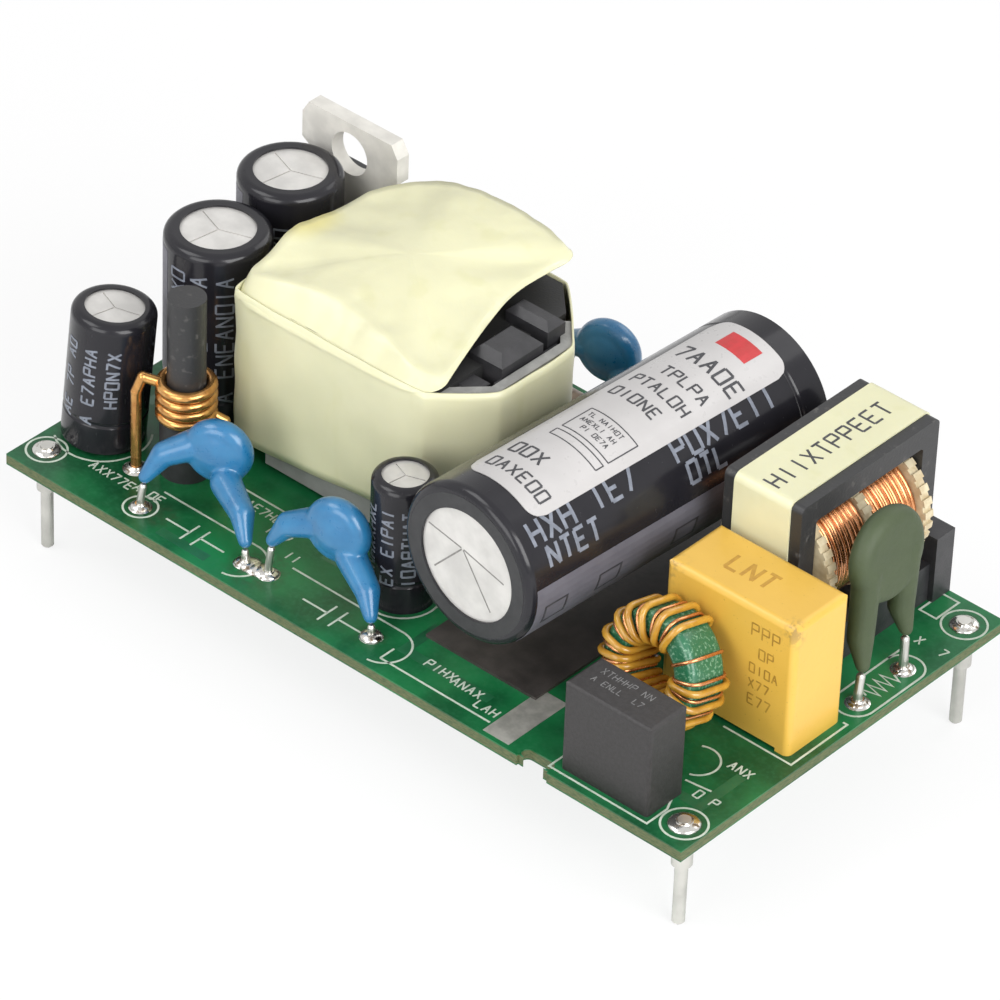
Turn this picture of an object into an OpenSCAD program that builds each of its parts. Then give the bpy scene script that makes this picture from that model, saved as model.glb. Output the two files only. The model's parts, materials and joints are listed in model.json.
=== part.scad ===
// Open frame switching power supply on a pin-mounted printed board.
// Row frame: origin at the centre of the four terminal pins, in the plane of
// their tips. X runs along the long edge of the board, Y along the short edge
// towards the input choke, Z up. Parts are placed from the left front corner
// of the board, the way a board layout is dimensioned.

/* [Board] */
// Length of the board
board_length = 67.7; // [67:0.1:72]
// Width of the board
board_width = 37.0; // [36.8:0.1:40]
// Thickness of the laminate
board_thickness = 1.0; // [0.8:0.1:1.6]
// Length of the notch in the front edge
notch_length = 2.9; // [1:0.1:4]
// Depth of the notch in the front edge
notch_depth = 1.2; // [0.6:0.1:1.8]
// Radius left by the cutter in the corners of the notch
notch_radius = 0.5; // [0.2:0.1:0.6]
// Room between a lead and its hole
hole_clearance = 0.08; // [0.05:0.01:0.15]

/* [Terminal pins] */
// Distance between the pin rows along the board
pin_spacing_x = 64.0; // [63:0.1:65]
// Distance between the pins across the board
pin_spacing_y = 32.0; // [31.5:0.1:32.5]
// Radius of a pin
pin_radius = 0.5; // [0.4:0.05:0.6]
// Reach of a pin below the board
pin_reach = 8.2; // [4:0.1:10]
// Radius of the collar under the board
collar_radius = 0.8; // [0.7:0.05:1]
// Length of the collar
collar_length = 2.6; // [2.2:0.1:3]

/* [Boxed parts] */
// Fuse: length, width and height
fuse_size = [8.2, 4.0, 8.0];
// Interference suppression film capacitor: length, width and height
film_size = [12.2, 6.1, 11.7];
// Pitch of the film capacitor leads
film_pitch = 10.0; // [9:0.1:10.5]
// Pitch of the fuse leads
fuse_pitch = 5.08; // [4:0.01:6]

/* [Lying bulk capacitor] */
// Diameter over the sleeve
bulk_diameter = 13.1; // [12:0.1:13.4]
// Length over the can
bulk_length = 31.6; // [28:0.1:31.8]
// Height of the can above the board
bulk_lift = 4.1; // [3.6:0.1:4.6]
// Skew of the can on the board
bulk_skew = 3.1; // [2:0.1:3.4]
// Pitch of the leads
bulk_pitch = 5.0; // [4:0.1:7]

/* [Standing electrolytic capacitors] */
// Diameters over the sleeve: left front, middle, rear, one beside the transformer
can_diameters = [6.6, 8.4, 8.3, 5.1];
// Heights in the same order
can_heights = [11.6, 16.0, 17.0, 11.2];
// Thickness of the sleeve, drawn stiff enough to model
sleeve_wall = 0.16; // [0.1:0.02:0.2]
// Radius of the shoulder under the sleeve's crimped edge
shoulder_radius = 0.7; // [0.5:0.05:0.9]
// Share of the diameter the open end of the sleeve leaves bare
bare_share = 0.7; // [0.6:0.01:0.8]

/* [Common mode choke] */
// Thickness of the core along the board
choke_thickness = 7.3; // [7:0.1:7.5]
// Width of the core across the board
choke_width = 15.8; // [15.6:0.1:16]
// Height of the core
choke_height = 14.9; // [14.5:0.1:15]
// Width of the core's side limbs
choke_limb = 1.75; // [1.5:0.05:1.9]
// Width of the tape band round the core
choke_band = 5.3; // [4:0.1:6]
// Radius of the bobbin's toothed flanges
flange_radius = 5.2; // [4.8:0.05:5.3]
// Teeth on each flange
flange_teeth = 30; // [20:1:36]
// Turns showing in each winding chamber
choke_turns = 9; // [7:1:10]

/* [Toroidal inductor] */
// Outer radius of the coated core
ring_outer = 4.5; // [4.3:0.05:4.6]
// Inner radius of the coated core
ring_inner = 2.4; // [2.35:0.05:2.5]
// Height of the coated core along its axis
ring_height = 3.6; // [3.3:0.1:3.7]
// Pairs of turns
ring_turns = 12; // [8:1:12]
// Radius of the insulated wire
thick_wire = 0.26; // [0.2:0.01:0.26]
// Radius of the enamelled wire
thin_wire = 0.16; // [0.12:0.01:0.16]
// Backward lean of the ring
ring_lean = 14; // [8:1:16]

/* [Transformer] */
// Length of the taped body along the board
wound_length = 23.6; // [22.6:0.1:23.8]
// Corners cut off at the output end of the taped body
left_cut = 2.4; // [2.2:0.1:3]
// Depth of the taped body across the board
wound_depth = 18.4; // [17:0.1:18.6]
// Height of the tape band above the board
band_top = 15.3; // [14:0.1:15.6]
// Height of the lower edge of the tape band
band_bottom = 2.8; // [2.4:0.1:3.2]
// Cut corner at the front right
front_cut = 4.2; // [3.8:0.1:4.6]
// Cut corner at the rear right
rear_cut = 6.0; // [5:0.1:6.4]
// Thickness of the tape layers
tape_wall = 0.25; // [0.15:0.05:0.3]

/* [Disc capacitors and thermistor] */
// Radius of a coated disc
disc_radius = 2.75; // [2.5:0.05:2.9]
// Thickness at the rim
disc_rim = 1.9; // [1.6:0.1:2.1]
// Thickness at the centre
disc_middle = 2.7; // [2.4:0.1:2.9]
// Radius of the thermistor disc
thermistor_radius = 3.8; // [3.6:0.05:3.9]
// Thickness of the thermistor
thermistor_rim = 2.0; // [1.8:0.1:2.4]

/* [Rod inductor] */
// Radius of the ferrite rod
rod_radius = 1.5; // [1.3:0.05:1.55]
// Height of the top of the rod
rod_top = 16.0; // [14:0.1:16.5]
// Radius of its wire
rod_wire = 0.42; // [0.35:0.01:0.45]
// Turns of its coil
rod_turns = 4; // [3:1:5]

/* [Output rectifier] */
// Width of the metal tab
tab_width = 9.9; // [9.8:0.1:10.2]
// Thickness of the tab
tab_thickness = 1.3; // [1.2:0.05:1.35]
// Height of the tab's top edge
tab_top = 19.8; // [19.6:0.1:20]
// Radius of the hole in the tab
tab_hole = 1.85; // [1.8:0.05:1.9]
// Distance from the hole's centre to the top edge
tab_hole_down = 2.8; // [2.6:0.05:2.9]
// Length of the tab
tab_length = 15.6; // [15:0.1:16]

/* [Hidden] */
$fn = 48;
eps = 0.01;
half_l = board_length / 2;
half_w = board_width / 2;
board_top = pin_reach + board_thickness;
pin_head = 0.45;
lead_tail = 0.9;
fit = 0.04;
swell = 1.03;
pin_inset_x = (board_length - pin_spacing_x) / 2;
pin_inset_y = (board_width - pin_spacing_y) / 2;

// colours
green = [0.05, 0.36, 0.18];
tin = [0.72, 0.71, 0.68];
alu = [0.85, 0.85, 0.86];
black = [0.08, 0.08, 0.09];
dark = [0.16, 0.15, 0.17];
blue = [0.16, 0.5, 0.78];
yellow = [0.9, 0.66, 0.16];
tape = [0.9, 0.9, 0.66];
copper = [0.78, 0.42, 0.2];
cream = [0.86, 0.82, 0.66];
sage = [0.36, 0.5, 0.34];
grey = [0.55, 0.56, 0.56];

// layout, from the left front corner of the board
fuse_at = [board_length - 8.3, 3.1];
film_at = [board_length - 7.4, 16.35];
choke_at = [board_length - 10.45, board_width - 8.9];
bulk_front = [board_length - 24.2, 3.6];
can_at = [[3.4, 7.1], [6.5, 16.4], [6.0, 24.9], [33.35, 8.2]];
can_lead_pitch = [2.5, 3.5, 3.5, 2.0];
can_lead_angle = [40, 90, 0, 60];
// lean and the direction the top leans towards
can_lean = [[4.5, 56], [0, 0], [0, 0], [0, 0]];
ring_at = [board_length - 10.5, 9.9, 5.5];
rod_at = [11.1, 8.2];
wound_at = [11.9, 12.0];
tab_at = [7.85, 29.5];
notch_at = board_length - 14.2;
notch_end = notch_at + notch_length / 2;

function on_board(p) = [p[0] - half_l, p[1] - half_w, board_top + (len(p) > 2 ? p[2] : 0)];
function turned(a, p) = [p[0] * cos(a) - p[1] * sin(a), p[0] * sin(a) + p[1] * cos(a)];
function pair(c, pitch, a) = [for (s = [-1, 1]) c + turned(a, [s * pitch / 2, 0])];

// every hole that takes a lead: [x, y, radius]
function drilled(points, r) = [for (p = points) [p[0], p[1], r]];
pin_points = [for (i = [0, 1], j = [0, 1])
    [pin_inset_x + i * pin_spacing_x, pin_inset_y + j * pin_spacing_y]];
fuse_leads_at = pair(fuse_at, fuse_pitch, 0);
film_leads_at = pair(film_at, film_pitch, 0);
bulk_radius = bulk_diameter / 2;
bulk_tail = 0.85;
bulk_end = bulk_front + (bulk_length + bulk_tail) * [sin(bulk_skew), cos(bulk_skew)];
bulk_leads_at = pair(bulk_end, bulk_pitch, -bulk_skew);
can_leads_at = [for (i = [0:3]) each pair(can_at[i], can_lead_pitch[i], can_lead_angle[i])];
disc_pads = [[[12.0, 2.3], [22.4, 2.8]], [[24.6, 3.0], [35.2, 2.8]], [[25.4, board_width - 1.8], [33.4, board_width - 1.6]]];
disc_at = [[16.5, 6.1, 5.6], [30.1, 4.6, 6.2], [29.9, board_width - 1.8, 6.6]];
disc_facing = [24, 10, 12];
thermistor_at = [board_length - 3.0, board_width - 11.4, 11.0];
thermistor_pads = [[board_length - 1.7, board_width - 15.2], [board_length - 1.8, board_width - 9.8]];
thermistor_lean = 6;
resistor_gap = 1.8;
resistor_at = [29.0, wound_at[1] + wound_depth + resistor_gap, 2.4];
resistor_span = 12.0;
resistor_leads_at = [[resistor_at[0] - 5.8, resistor_at[1]], [resistor_at[0] + 6.2, resistor_at[1]]];
choke_pins_at = [for (i = [-1, 1], j = [-1, 1]) choke_at + [i * 2.6, j * 6.4]];
wound_pins_at = [for (i = [0, 1], j = [0:3]) [wound_at[0] + 1.7 + i * (wound_length - 4.4), wound_at[1] + 3.8 + j * 3.1]];
ring_leads_at = [for (d = [[-1.5, -1.3], [1.7, -1.1], [-1.4, 2.2], [1.8, 2.4]]) [ring_at[0], ring_at[1]] + d];
rod_leads_at = [[8.35, 5.57], [13.3, 9.9]];
rectifier_leads_at = [for (i = [-1:1]) tab_at + [i * 2.54, 2.4]];
lead_list = concat(
    drilled(pin_points, pin_radius), drilled(fuse_leads_at, 0.4), drilled(film_leads_at, 0.4),
    drilled(bulk_leads_at, 0.3), drilled(can_leads_at, 0.25),
    drilled(disc_pads[0], 0.3), drilled(disc_pads[1], 0.3), drilled(disc_pads[2], 0.3),
    drilled(thermistor_pads, 0.36), drilled(resistor_leads_at, 0.36), drilled(choke_pins_at, 0.35),
    drilled(wound_pins_at, 0.35), drilled(ring_leads_at, thick_wire), drilled(rod_leads_at, rod_wire),
    drilled(rectifier_leads_at, 0.42));
top_soldered = concat(
    drilled(pin_points, pin_radius), drilled(disc_pads[0], 0.3), drilled(disc_pads[1], 0.3),
    drilled(thermistor_pads, 0.36), [[rod_leads_at[0][0], rod_leads_at[0][1], rod_wire]]);

board();
terminal_pins();
solder_joints();
solder_fillets();
fuse_body();
fuse_leads();
toroid_core();
toroid_thick_winding();
toroid_thin_winding();
film_capacitor();
film_capacitor_leads();
inrush_thermistor();
thermistor_leads();
choke_core();
choke_bobbin();
choke_windings();
choke_tape();
choke_base();
choke_pins();
bulk_can();
bulk_sleeve();
bulk_label();
bulk_leads();
insulating_sheet();
flat_transistor();
side_can();
side_sleeve();
disc_capacitor_left();
disc_capacitor_middle();
disc_capacitor_rear();
disc_capacitor_leads();
power_resistor();
power_resistor_leads();
transformer_core();
transformer_bobbin();
transformer_winding();
transformer_band();
transformer_top_tape();
transformer_pins();
output_can_left();
output_sleeve_left();
output_can_middle();
output_sleeve_middle();
output_can_rear();
output_sleeve_rear();
electrolytic_leads();
rod_core();
rod_coil();
rod_tube();
rectifier_tab();
rectifier_body();
rectifier_leads();
bridge_rectifier();
control_chip();
optocoupler();
fast_diodes();
chip_resistors();
chip_capacitors();

// ---- shared shapes ----

module rounded_rect(l, w, r) {
    square([l - 2 * r, w], center = true);
    square([l, w - 2 * r], center = true);
    for (sx = [-1, 1], sy = [-1, 1])
        translate([sx * (l / 2 - r), sy * (w / 2 - r)]) circle(r = r);
}

// side view of a block standing on y = 0, with its two upper corners rounded
module round_top_face(l, h, r) {
    translate([-l / 2, 0]) square([l, h - r]);
    translate([-l / 2 + r, 0]) square([l - 2 * r, h]);
    for (s = [-1, 1]) translate([s * (l / 2 - r), h - r]) circle(r = r);
}

// block on z = 0 with rounded upright and upper edges
module soft_block(size, r) {
    intersection() {
        linear_extrude(size[2]) rounded_rect(size[0], size[1], r);
        rotate([90, 0, 0]) linear_extrude(size[1] + 1, center = true)
            round_top_face(size[0], size[2], r);
        rotate([90, 0, 90]) linear_extrude(size[0] + 1, center = true)
            round_top_face(size[1], size[2], r);
    }
}

// round bar from a to b, tapering from ra to rb
module bar(a, b, ra, rb) {
    v = b - a;
    l = norm(v);
    translate(a) rotate([0, acos(v[2] / l), atan2(v[1], v[0])]) cylinder(r1 = ra, r2 = rb, h = l);
}

// bent wire through a list of points
module wire(points, r) {
    for (i = [0:len(points) - 2]) bar(points[i], points[i + 1], r, r);
    for (i = [1:len(points) - 2]) translate(points[i]) sphere(r = r * swell);
}

// tapering coated leg through points, one radius each
module leg(points, radii) {
    for (i = [0:len(points) - 2]) link(points[i], points[i + 1], radii[i], radii[i + 1]);
}

module link(a, b, ra, rb) {
    hull() {
        translate(a) sphere(r = ra, $fn = 16);
        translate(b) sphere(r = rb, $fn = 16);
    }
}

// straight lead from a height above the board down through it
module straight_lead(p, r, from) {
    translate(on_board([p[0], p[1], -board_thickness - lead_tail]))
        cylinder(r = r, h = board_thickness + lead_tail + from);
}

module round_top_solid(r, h, f) {
    rotate_extrude() {
        square([r, h - f]);
        square([r - f, h]);
        translate([r - f, h - f]) intersection() {
            circle(r = f);
            square([f, f]);
        }
    }
}

// ---- board and pins ----

module board() {
    color(green) difference() {
        translate([-half_l, -half_w, board_top - board_thickness])
            cube([board_length, board_width, board_thickness]);
        translate(on_board([notch_at, notch_depth / 2 - 1, -board_thickness / 2])) {
            cube([notch_length - 2 * notch_radius, notch_depth + 2, 2 * board_thickness], center = true);
            translate([0, -notch_radius, 0])
                cube([notch_length, notch_depth + 2 - 2 * notch_radius, 2 * board_thickness], center = true);
            for (s = [-1, 1])
                translate([s * (notch_length / 2 - notch_radius), notch_depth / 2 + 1 - notch_radius, 0])
                    cylinder(r = notch_radius, h = 2 * board_thickness, center = true);
        }
        for (p = lead_list)
            translate(on_board([p[0], p[1], -board_thickness - eps]))
                cylinder(r = p[2] + hole_clearance, h = board_thickness + 2 * eps);
    }
}

module terminal_pins() {
    tip = 0.2;
    color(tin) for (p = pin_points) translate([p[0] - half_l, p[1] - half_w, 0]) {
        cylinder(r1 = pin_radius - tip, r2 = pin_radius, h = tip);
        translate([0, 0, tip]) cylinder(r = pin_radius, h = board_top + pin_head - tip);
        translate([0, 0, pin_reach - collar_length]) cylinder(r = collar_radius, h = collar_length);
    }
}

// hollow cone of solder round a lead, standing on z = 0
module solder_cone(r, foot, height) {
    rotate_extrude() polygon([[r + fit / 2, 0], [r + foot, 0], [r + foot * 0.45, height * 0.45],
        [r + foot * 0.2, height], [r + fit / 2, height]]);
}

module solder_joints() {
    color(tin) for (i = [len(pin_points):len(lead_list) - 1]) {
        p = lead_list[i];
        translate(on_board([p[0], p[1], -board_thickness])) mirror([0, 0, 1])
            solder_cone(p[2], 0.5, 0.6);
    }
}

module solder_fillets() {
    color(tin) for (p = top_soldered)
        translate(on_board(p[2] == pin_radius ? [p[0], p[1], 0] : [p[0], p[1], 0]))
            solder_cone(p[2], 0.62, 0.38);
}

// ---- fuse ----

module fuse_body() {
    color(dark) translate(on_board(fuse_at)) soft_block(fuse_size, 0.3);
}

module fuse_leads() {
    color(tin) for (p = fuse_leads_at) straight_lead(p, 0.4, 0);
}

// ---- toroidal inductor ----

module ring_frame() {
    translate(on_board(ring_at)) rotate([0, 0, -5]) rotate([90 - ring_lean, 0, 0]) children();
}

module toroid_core() {
    r = 0.5;
    color([0.2, 0.5, 0.33]) ring_frame() rotate_extrude()
        translate([(ring_outer + ring_inner) / 2, 0])
            rounded_rect(ring_outer - ring_inner, ring_height, r);
}

// one turn round the core's section, in the plane y = 0
module ring_turn(w) {
    gap = fit;
    bend = w + 0.25;
    x0 = ring_inner - gap - w;
    x1 = ring_outer + gap + w;
    z1 = ring_height / 2 + gap + w;
    for (s = [-1, 1]) {
        translate([x0 + bend, 0, s * z1]) rotate([0, 90, 0]) cylinder(r = w, h = x1 - x0 - 2 * bend);
        translate([s > 0 ? x1 : x0, 0, -z1 + bend]) cylinder(r = w, h = 2 * (z1 - bend));
    }
    for (sx = [0, 1], sz = [0, 1])
        translate([sx > 0 ? x1 - bend : x0 + bend, 0, sz > 0 ? z1 - bend : -z1 + bend])
            mirror([1 - sx, 0, 0]) mirror([0, 0, 1 - sz])
                rotate([90, 0, 0]) rotate_extrude(angle = 90) translate([bend, 0]) circle(r = w);
}

ring_start = -72;
ring_step = 324 / (2 * ring_turns - 1);

module toroid_thick_winding() {
    color(yellow) {
        ring_frame() for (i = [0:ring_turns - 1])
            rotate([0, 0, ring_start + 2 * i * ring_step]) ring_turn(thick_wire);
        for (i = [0, 1]) straight_lead(ring_leads_at[i], thick_wire, 0.9);
    }
}

module toroid_thin_winding() {
    color(copper) {
        ring_frame() for (i = [0:ring_turns - 1])
            rotate([0, 0, ring_start + (2 * i + 1) * ring_step]) ring_turn(thin_wire);
        for (i = [2, 3]) straight_lead(ring_leads_at[i], thin_wire, 0.9);
    }
}

// ---- film capacitor ----

module film_capacitor() {
    foot = 0.3;
    color(yellow) translate(on_board(film_at)) difference() {
        soft_block(film_size, 0.55);
        translate([0, 0, -eps]) linear_extrude(foot + eps)
            square([film_size[0] - 2.4, film_size[1] + 2], center = true);
    }
}

module film_capacitor_leads() {
    color(tin) for (p = film_leads_at) straight_lead(p, 0.4, -fit);
}

// ---- inrush thermistor ----

module thermistor_frame() {
    translate(on_board(thermistor_at)) rotate([0, -thermistor_lean, 0]) rotate([0, 90, 0]) children();
}

module pill_disc(r, rim) {
    rotate_extrude() {
        translate([0, -rim / 2]) square([r - rim / 2, rim]);
        translate([r - rim / 2, 0]) intersection() {
            circle(r = rim / 2);
            translate([0, -rim]) square([rim, 2 * rim]);
        }
    }
}

thermistor_feet = [thermistor_at + [0.5, -3.0, -5.8], thermistor_at + [0.3, 1.9, -5.6]];
thermistor_ends = [thermistor_at + [1.2, -3.4, -7.8], thermistor_at + [1.0, 1.8, -7.4]];

module inrush_thermistor() {
    color(sage) {
        thermistor_frame() pill_disc(thermistor_radius, thermistor_rim);
        for (i = [0, 1])
            leg([on_board(thermistor_at + [0.1, i == 0 ? -2.3 : 2.3, -0.6]), on_board(thermistor_feet[i]),
                on_board(thermistor_ends[i])], [1.15, 1.05, 0.55]);
    }
}

module thermistor_leads() {
    r = 0.36;
    bend = 1.0;
    color(tin) for (i = [0, 1]) {
        p = thermistor_pads[i];
        low = on_board([p[0], p[1], bend]);
        top = on_board(thermistor_ends[i]);
        v = (low - top) / norm(low - top);
        link(top + v * (0.55 + r + fit), low, r, r);
        straight_lead(p, r, bend);
    }
}

// ---- common mode choke ----

choke_foot = 0.9;
choke_mid = choke_foot + choke_height / 2;
leg_radius = 1.6;

module choke_face(grow) {
    rounded_rect(choke_width + 2 * grow, choke_height + 2 * grow, 0.55 + grow);
}

module choke_frame() {
    translate(on_board([choke_at[0], choke_at[1], choke_mid])) rotate([90, 0, 90]) children();
}

module choke_core() {
    color(black) choke_frame() {
        linear_extrude(choke_thickness, center = true) difference() {
            choke_face(0);
            rounded_rect(choke_width - 2 * choke_limb, choke_height - 2 * choke_limb - 0.3, 0.3);
        }
        rotate([0, 90, 0]) cylinder(r = leg_radius, h = choke_width - choke_limb, center = true);
    }
}

module choke_tape() {
    color(tape) choke_frame() linear_extrude(choke_band, center = true) difference() {
        choke_face(0.14);
        choke_face(0.01);
    }
}

chamber = (choke_width - 2 * choke_limb - 0.3) / 2;
flange_wall = 0.9;

module toothed_flange(r) {
    tooth = 360 / flange_teeth;
    linear_extrude(flange_wall, center = true) difference() {
        circle(r = r);
        for (i = [0:flange_teeth - 1]) rotate(i * tooth) translate([r, 0]) square([0.5, 0.5], center = true);
    }
}

module along_bobbin() {
    choke_frame() rotate([0, 90, 0]) children();
}

module choke_bobbin() {
    color(cream) along_bobbin() difference() {
        union() {
            for (s = [-1, 1]) translate([0, 0, s * (chamber - flange_wall / 2)]) toothed_flange(flange_radius);
            toothed_flange(flange_radius - 0.4);
            cylinder(r = leg_radius + 0.75, h = 2 * chamber, center = true);
        }
        cylinder(r = leg_radius + 0.1, h = 3 * chamber, center = true);
    }
}

module choke_windings() {
    inner = leg_radius + 0.75 + fit;
    room = chamber - 1.5 * flange_wall - 2 * fit;
    w = room / choke_turns / 2;
    color(copper) along_bobbin() for (s = [0, 1]) mirror([0, 0, s])
        translate([0, 0, flange_wall / 2 + fit]) rotate_extrude() {
            translate([inner, 0]) square([flange_radius - 0.95 - inner, room]);
            for (i = [0:choke_turns - 1])
                translate([flange_radius - 0.95, w * (2 * i + 1)]) circle(r = w - 0.005);
        }
}

module choke_base() {
    depth = choke_thickness + 2.1;
    front = choke_thickness / 2 + fit;
    color(black) translate(on_board(choke_at)) difference() {
        union() {
            translate([-depth / 2, -choke_width / 2 - 0.35, 0]) cube([depth, choke_width + 1.35, choke_foot - 0.02]);
            translate([-depth / 2, choke_width / 2 - 1.1, 0]) cube([depth + 0.5, 2.1, 5.9]);
            translate([-depth / 2, -choke_width / 2 - 0.35, 0]) cube([depth, 1.3, 5.2]);
            translate([front, -choke_width / 2 + 0.9, 0]) cube([1.0, choke_width - 2, 3.4]);
        }
        translate([0, 0, choke_mid]) rotate([90, 0, 90])
            linear_extrude(choke_thickness + 2 * fit, center = true)
                rounded_rect(choke_width + 0.34, choke_height + 0.34, 0.6);
        for (p = choke_pins_at)
            translate([p[0] - choke_at[0], p[1] - choke_at[1], -1]) cylinder(r = 0.35 + fit / 2, h = 2.6);
    }
}

module choke_pins() {
    color(tin) for (p = choke_pins_at) straight_lead(p, 0.35, choke_foot - 0.15);
}

// ---- electrolytic capacitors ----

// shallow score lines that let the can's end open
module vent_scores(r) {
    for (a = [20, 160, 262]) rotate([0, 0, a]) translate([0, -0.06, -0.1]) cube([r, 0.12, 0.2]);
}

module metal_can(d, h) {
    r = d / 2 - sleeve_wall - fit;
    top = h - sleeve_wall - fit;
    color(alu) difference() {
        round_top_solid(r, top, shoulder_radius - sleeve_wall);
        translate([0, 0, top]) vent_scores(bare_share * d / 2 - 0.2);
    }
}

module heat_sleeve(d, h) {
    neck = 2.6;
    color(black) difference() {
        round_top_solid(d / 2, h, shoulder_radius);
        translate([0, 0, -eps]) round_top_solid(d / 2 - sleeve_wall, h - sleeve_wall + eps, shoulder_radius - sleeve_wall);
        cylinder(r = bare_share * d / 2, h = 2 * h);
        translate([0, 0, neck]) rotate_extrude() translate([d / 2 + 0.42, 0]) circle(r = 0.5);
    }
}

module can_frame(i) {
    lean = can_lean[i][0];
    side = can_lean[i][1];
    lift = can_diameters[i] / 2 * sin(lean);
    translate(on_board([can_at[i][0], can_at[i][1], lift]))
        rotate([0, 0, side]) rotate([0, lean, 0]) rotate([0, 0, -side]) children();
}

module output_can_left() { can_frame(0) metal_can(can_diameters[0], can_heights[0]); }
module output_sleeve_left() { can_frame(0) heat_sleeve(can_diameters[0], can_heights[0]); }
module output_can_middle() { can_frame(1) metal_can(can_diameters[1], can_heights[1]); }
module output_sleeve_middle() { can_frame(1) heat_sleeve(can_diameters[1], can_heights[1]); }
module output_can_rear() { can_frame(2) metal_can(can_diameters[2], can_heights[2]); }
module output_sleeve_rear() { can_frame(2) heat_sleeve(can_diameters[2], can_heights[2]); }
module side_can() { can_frame(3) metal_can(can_diameters[3], can_heights[3]); }
module side_sleeve() { can_frame(3) heat_sleeve(can_diameters[3], can_heights[3]); }

module electrolytic_leads() {
    color(tin) for (p = can_leads_at) straight_lead(p, 0.25, -fit);
}

// ---- lying bulk capacitor ----

module bulk_frame() {
    translate(on_board([bulk_front[0], bulk_front[1], bulk_lift + bulk_radius])) rotate([0, 0, -bulk_skew])
        rotate([90, 0, 0]) translate([0, 0, -bulk_length]) children();
}

module bulk_can() { bulk_frame() rotate([0, 0, 40]) metal_can(bulk_diameter, bulk_length); }
module bulk_sleeve() { bulk_frame() heat_sleeve(bulk_diameter, bulk_length); }

module bulk_label() {
    label_wall = 0.07;
    color([0.93, 0.93, 0.93]) bulk_frame() translate([0, 0, 3.1]) rotate([0, 0, 38])
        rotate_extrude(angle = 122) translate([bulk_radius + 0.015, 0]) square([label_wall, 26.4]);
}

module bulk_leads() {
    color(tin) bulk_frame() for (s = [-1, 1])
        wire([[s * bulk_pitch / 2, 0, -fit], [s * bulk_pitch / 2, 0, -bulk_tail],
            [s * bulk_pitch / 2, -bulk_radius - bulk_lift - board_thickness - lead_tail, -bulk_tail]], 0.3);
}

sheet_size = [10.8, 26.0, 0.25];

module insulating_sheet() {
    color(dark) translate(on_board([bulk_front[0], bulk_front[1] + 2.0])) translate([-sheet_size[0] / 2, 0, 0]) cube(sheet_size);
}

// ---- disc capacitors ----

module domed_disc(r, rim, middle) {
    sag = (middle - rim) / 2;
    flat = r - rim / 2;
    dome = (flat * flat + sag * sag) / (2 * sag);
    rotate_extrude() {
        translate([0, -rim / 2]) square([flat, rim]);
        translate([flat, 0]) intersection() {
            circle(r = rim / 2);
            translate([0, -rim]) square([rim, 2 * rim]);
        }
        for (s = [0, 1]) mirror([0, s]) intersection() {
            translate([0, rim / 2 + sag - dome]) circle(r = dome);
            square([flat, middle]);
        }
    }
}

module disc_body(i) {
    translate(on_board(disc_at[i])) rotate([0, 0, disc_facing[i]]) rotate([90, 0, 0])
        domed_disc(disc_radius, disc_rim, disc_middle);
}

coat_end = 0.55;

// where each coated leg leaves the disc, bends and ends
disc_legs = [
    [[[14.6, 5.3, 5.6], [12.9, 3.9, 4.6], [12.1, 2.7, 2.7]], [[17.9, 5.4, 3.7], [20.9, 4.0, 3.2], [22.2, 3.0, 1.8]]],
    [[[28.2, 4.4, 6.0], [25.9, 3.7, 5.0], [24.8, 3.2, 3.2]], [[31.4, 4.6, 4.4], [33.9, 3.7, 3.1], [35.0, 2.9, 1.7]]],
    [[for (d = [[-1.9, -0.2, -0.2], [-3.7, -0.1, -1.0], [-4.4, 0, -3.0]]) disc_at[2] + d],
        [for (d = [[1.7, 0, -1.6], [3.0, 0.1, -2.4], [3.5, 0.2, -4.2]]) disc_at[2] + d]]];

module disc_capacitor(i) {
    color(blue) {
        disc_body(i);
        for (k = [0, 1]) leg([for (p = disc_legs[i][k]) on_board(p)], [1.25, 1.0, coat_end]);
    }
}

module disc_capacitor_left() { disc_capacitor(0); }
module disc_capacitor_middle() { disc_capacitor(1); }
module disc_capacitor_rear() { disc_capacitor(2); }

module disc_capacitor_leads() {
    r = 0.3;
    bend = 0.72;
    color(tin) for (i = [0:2], k = [0, 1]) {
        p = disc_pads[i][k];
        e = disc_legs[i][k][2];
        low = on_board([p[0], p[1], bend]);
        top = on_board(e);
        v = (low - top) / norm(low - top);
        link(top + v * (coat_end + r + fit), low, r, r);
        straight_lead(p, r, bend);
    }
}

// ---- lying resistor ----

module power_resistor() {
    r = 1.45;
    color([0.8, 0.68, 0.6]) translate(on_board(resistor_at)) rotate([0, 90, 0]) {
        cylinder(r = r - 0.15, h = 7.0, center = true);
        for (s = [-1, 1]) translate([0, 0, s * 2.9]) cylinder(r = r, h = 1.4, center = true);
    }
}

module power_resistor_leads() {
    z = resistor_at[2];
    color(tin) for (i = [0, 1]) {
        p = resistor_leads_at[i];
        s = i == 0 ? -1 : 1;
        wire([on_board([resistor_at[0] + s * (3.6 + fit), p[1], z]), on_board([p[0], p[1], z]),
            on_board([p[0], p[1], -board_thickness - lead_tail])], 0.36);
    }
}

// ---- transformer ----

// outline of the taped body, from its left front corner, shrunk by g
module wound_outline(g) {
    k = g * tan(22.5);
    polygon([[left_cut + k, g], [wound_length - front_cut - k, g], [wound_length - g, front_cut + k],
        [wound_length - g, wound_depth - rear_cut - k], [wound_length - rear_cut - k, wound_depth - g],
        [left_cut + k, wound_depth - g], [g, wound_depth - left_cut - k], [g, left_cut + k]]);
}

module wound_frame(z) {
    translate(on_board([wound_at[0], wound_at[1], z])) children();
}

module transformer_band() {
    color(tape) wound_frame(band_bottom) linear_extrude(band_top - band_bottom) difference() {
        wound_outline(0);
        wound_outline(tape_wall);
    }
}

core_gap = tape_wall + 0.15;
plate = 2.6;

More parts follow.
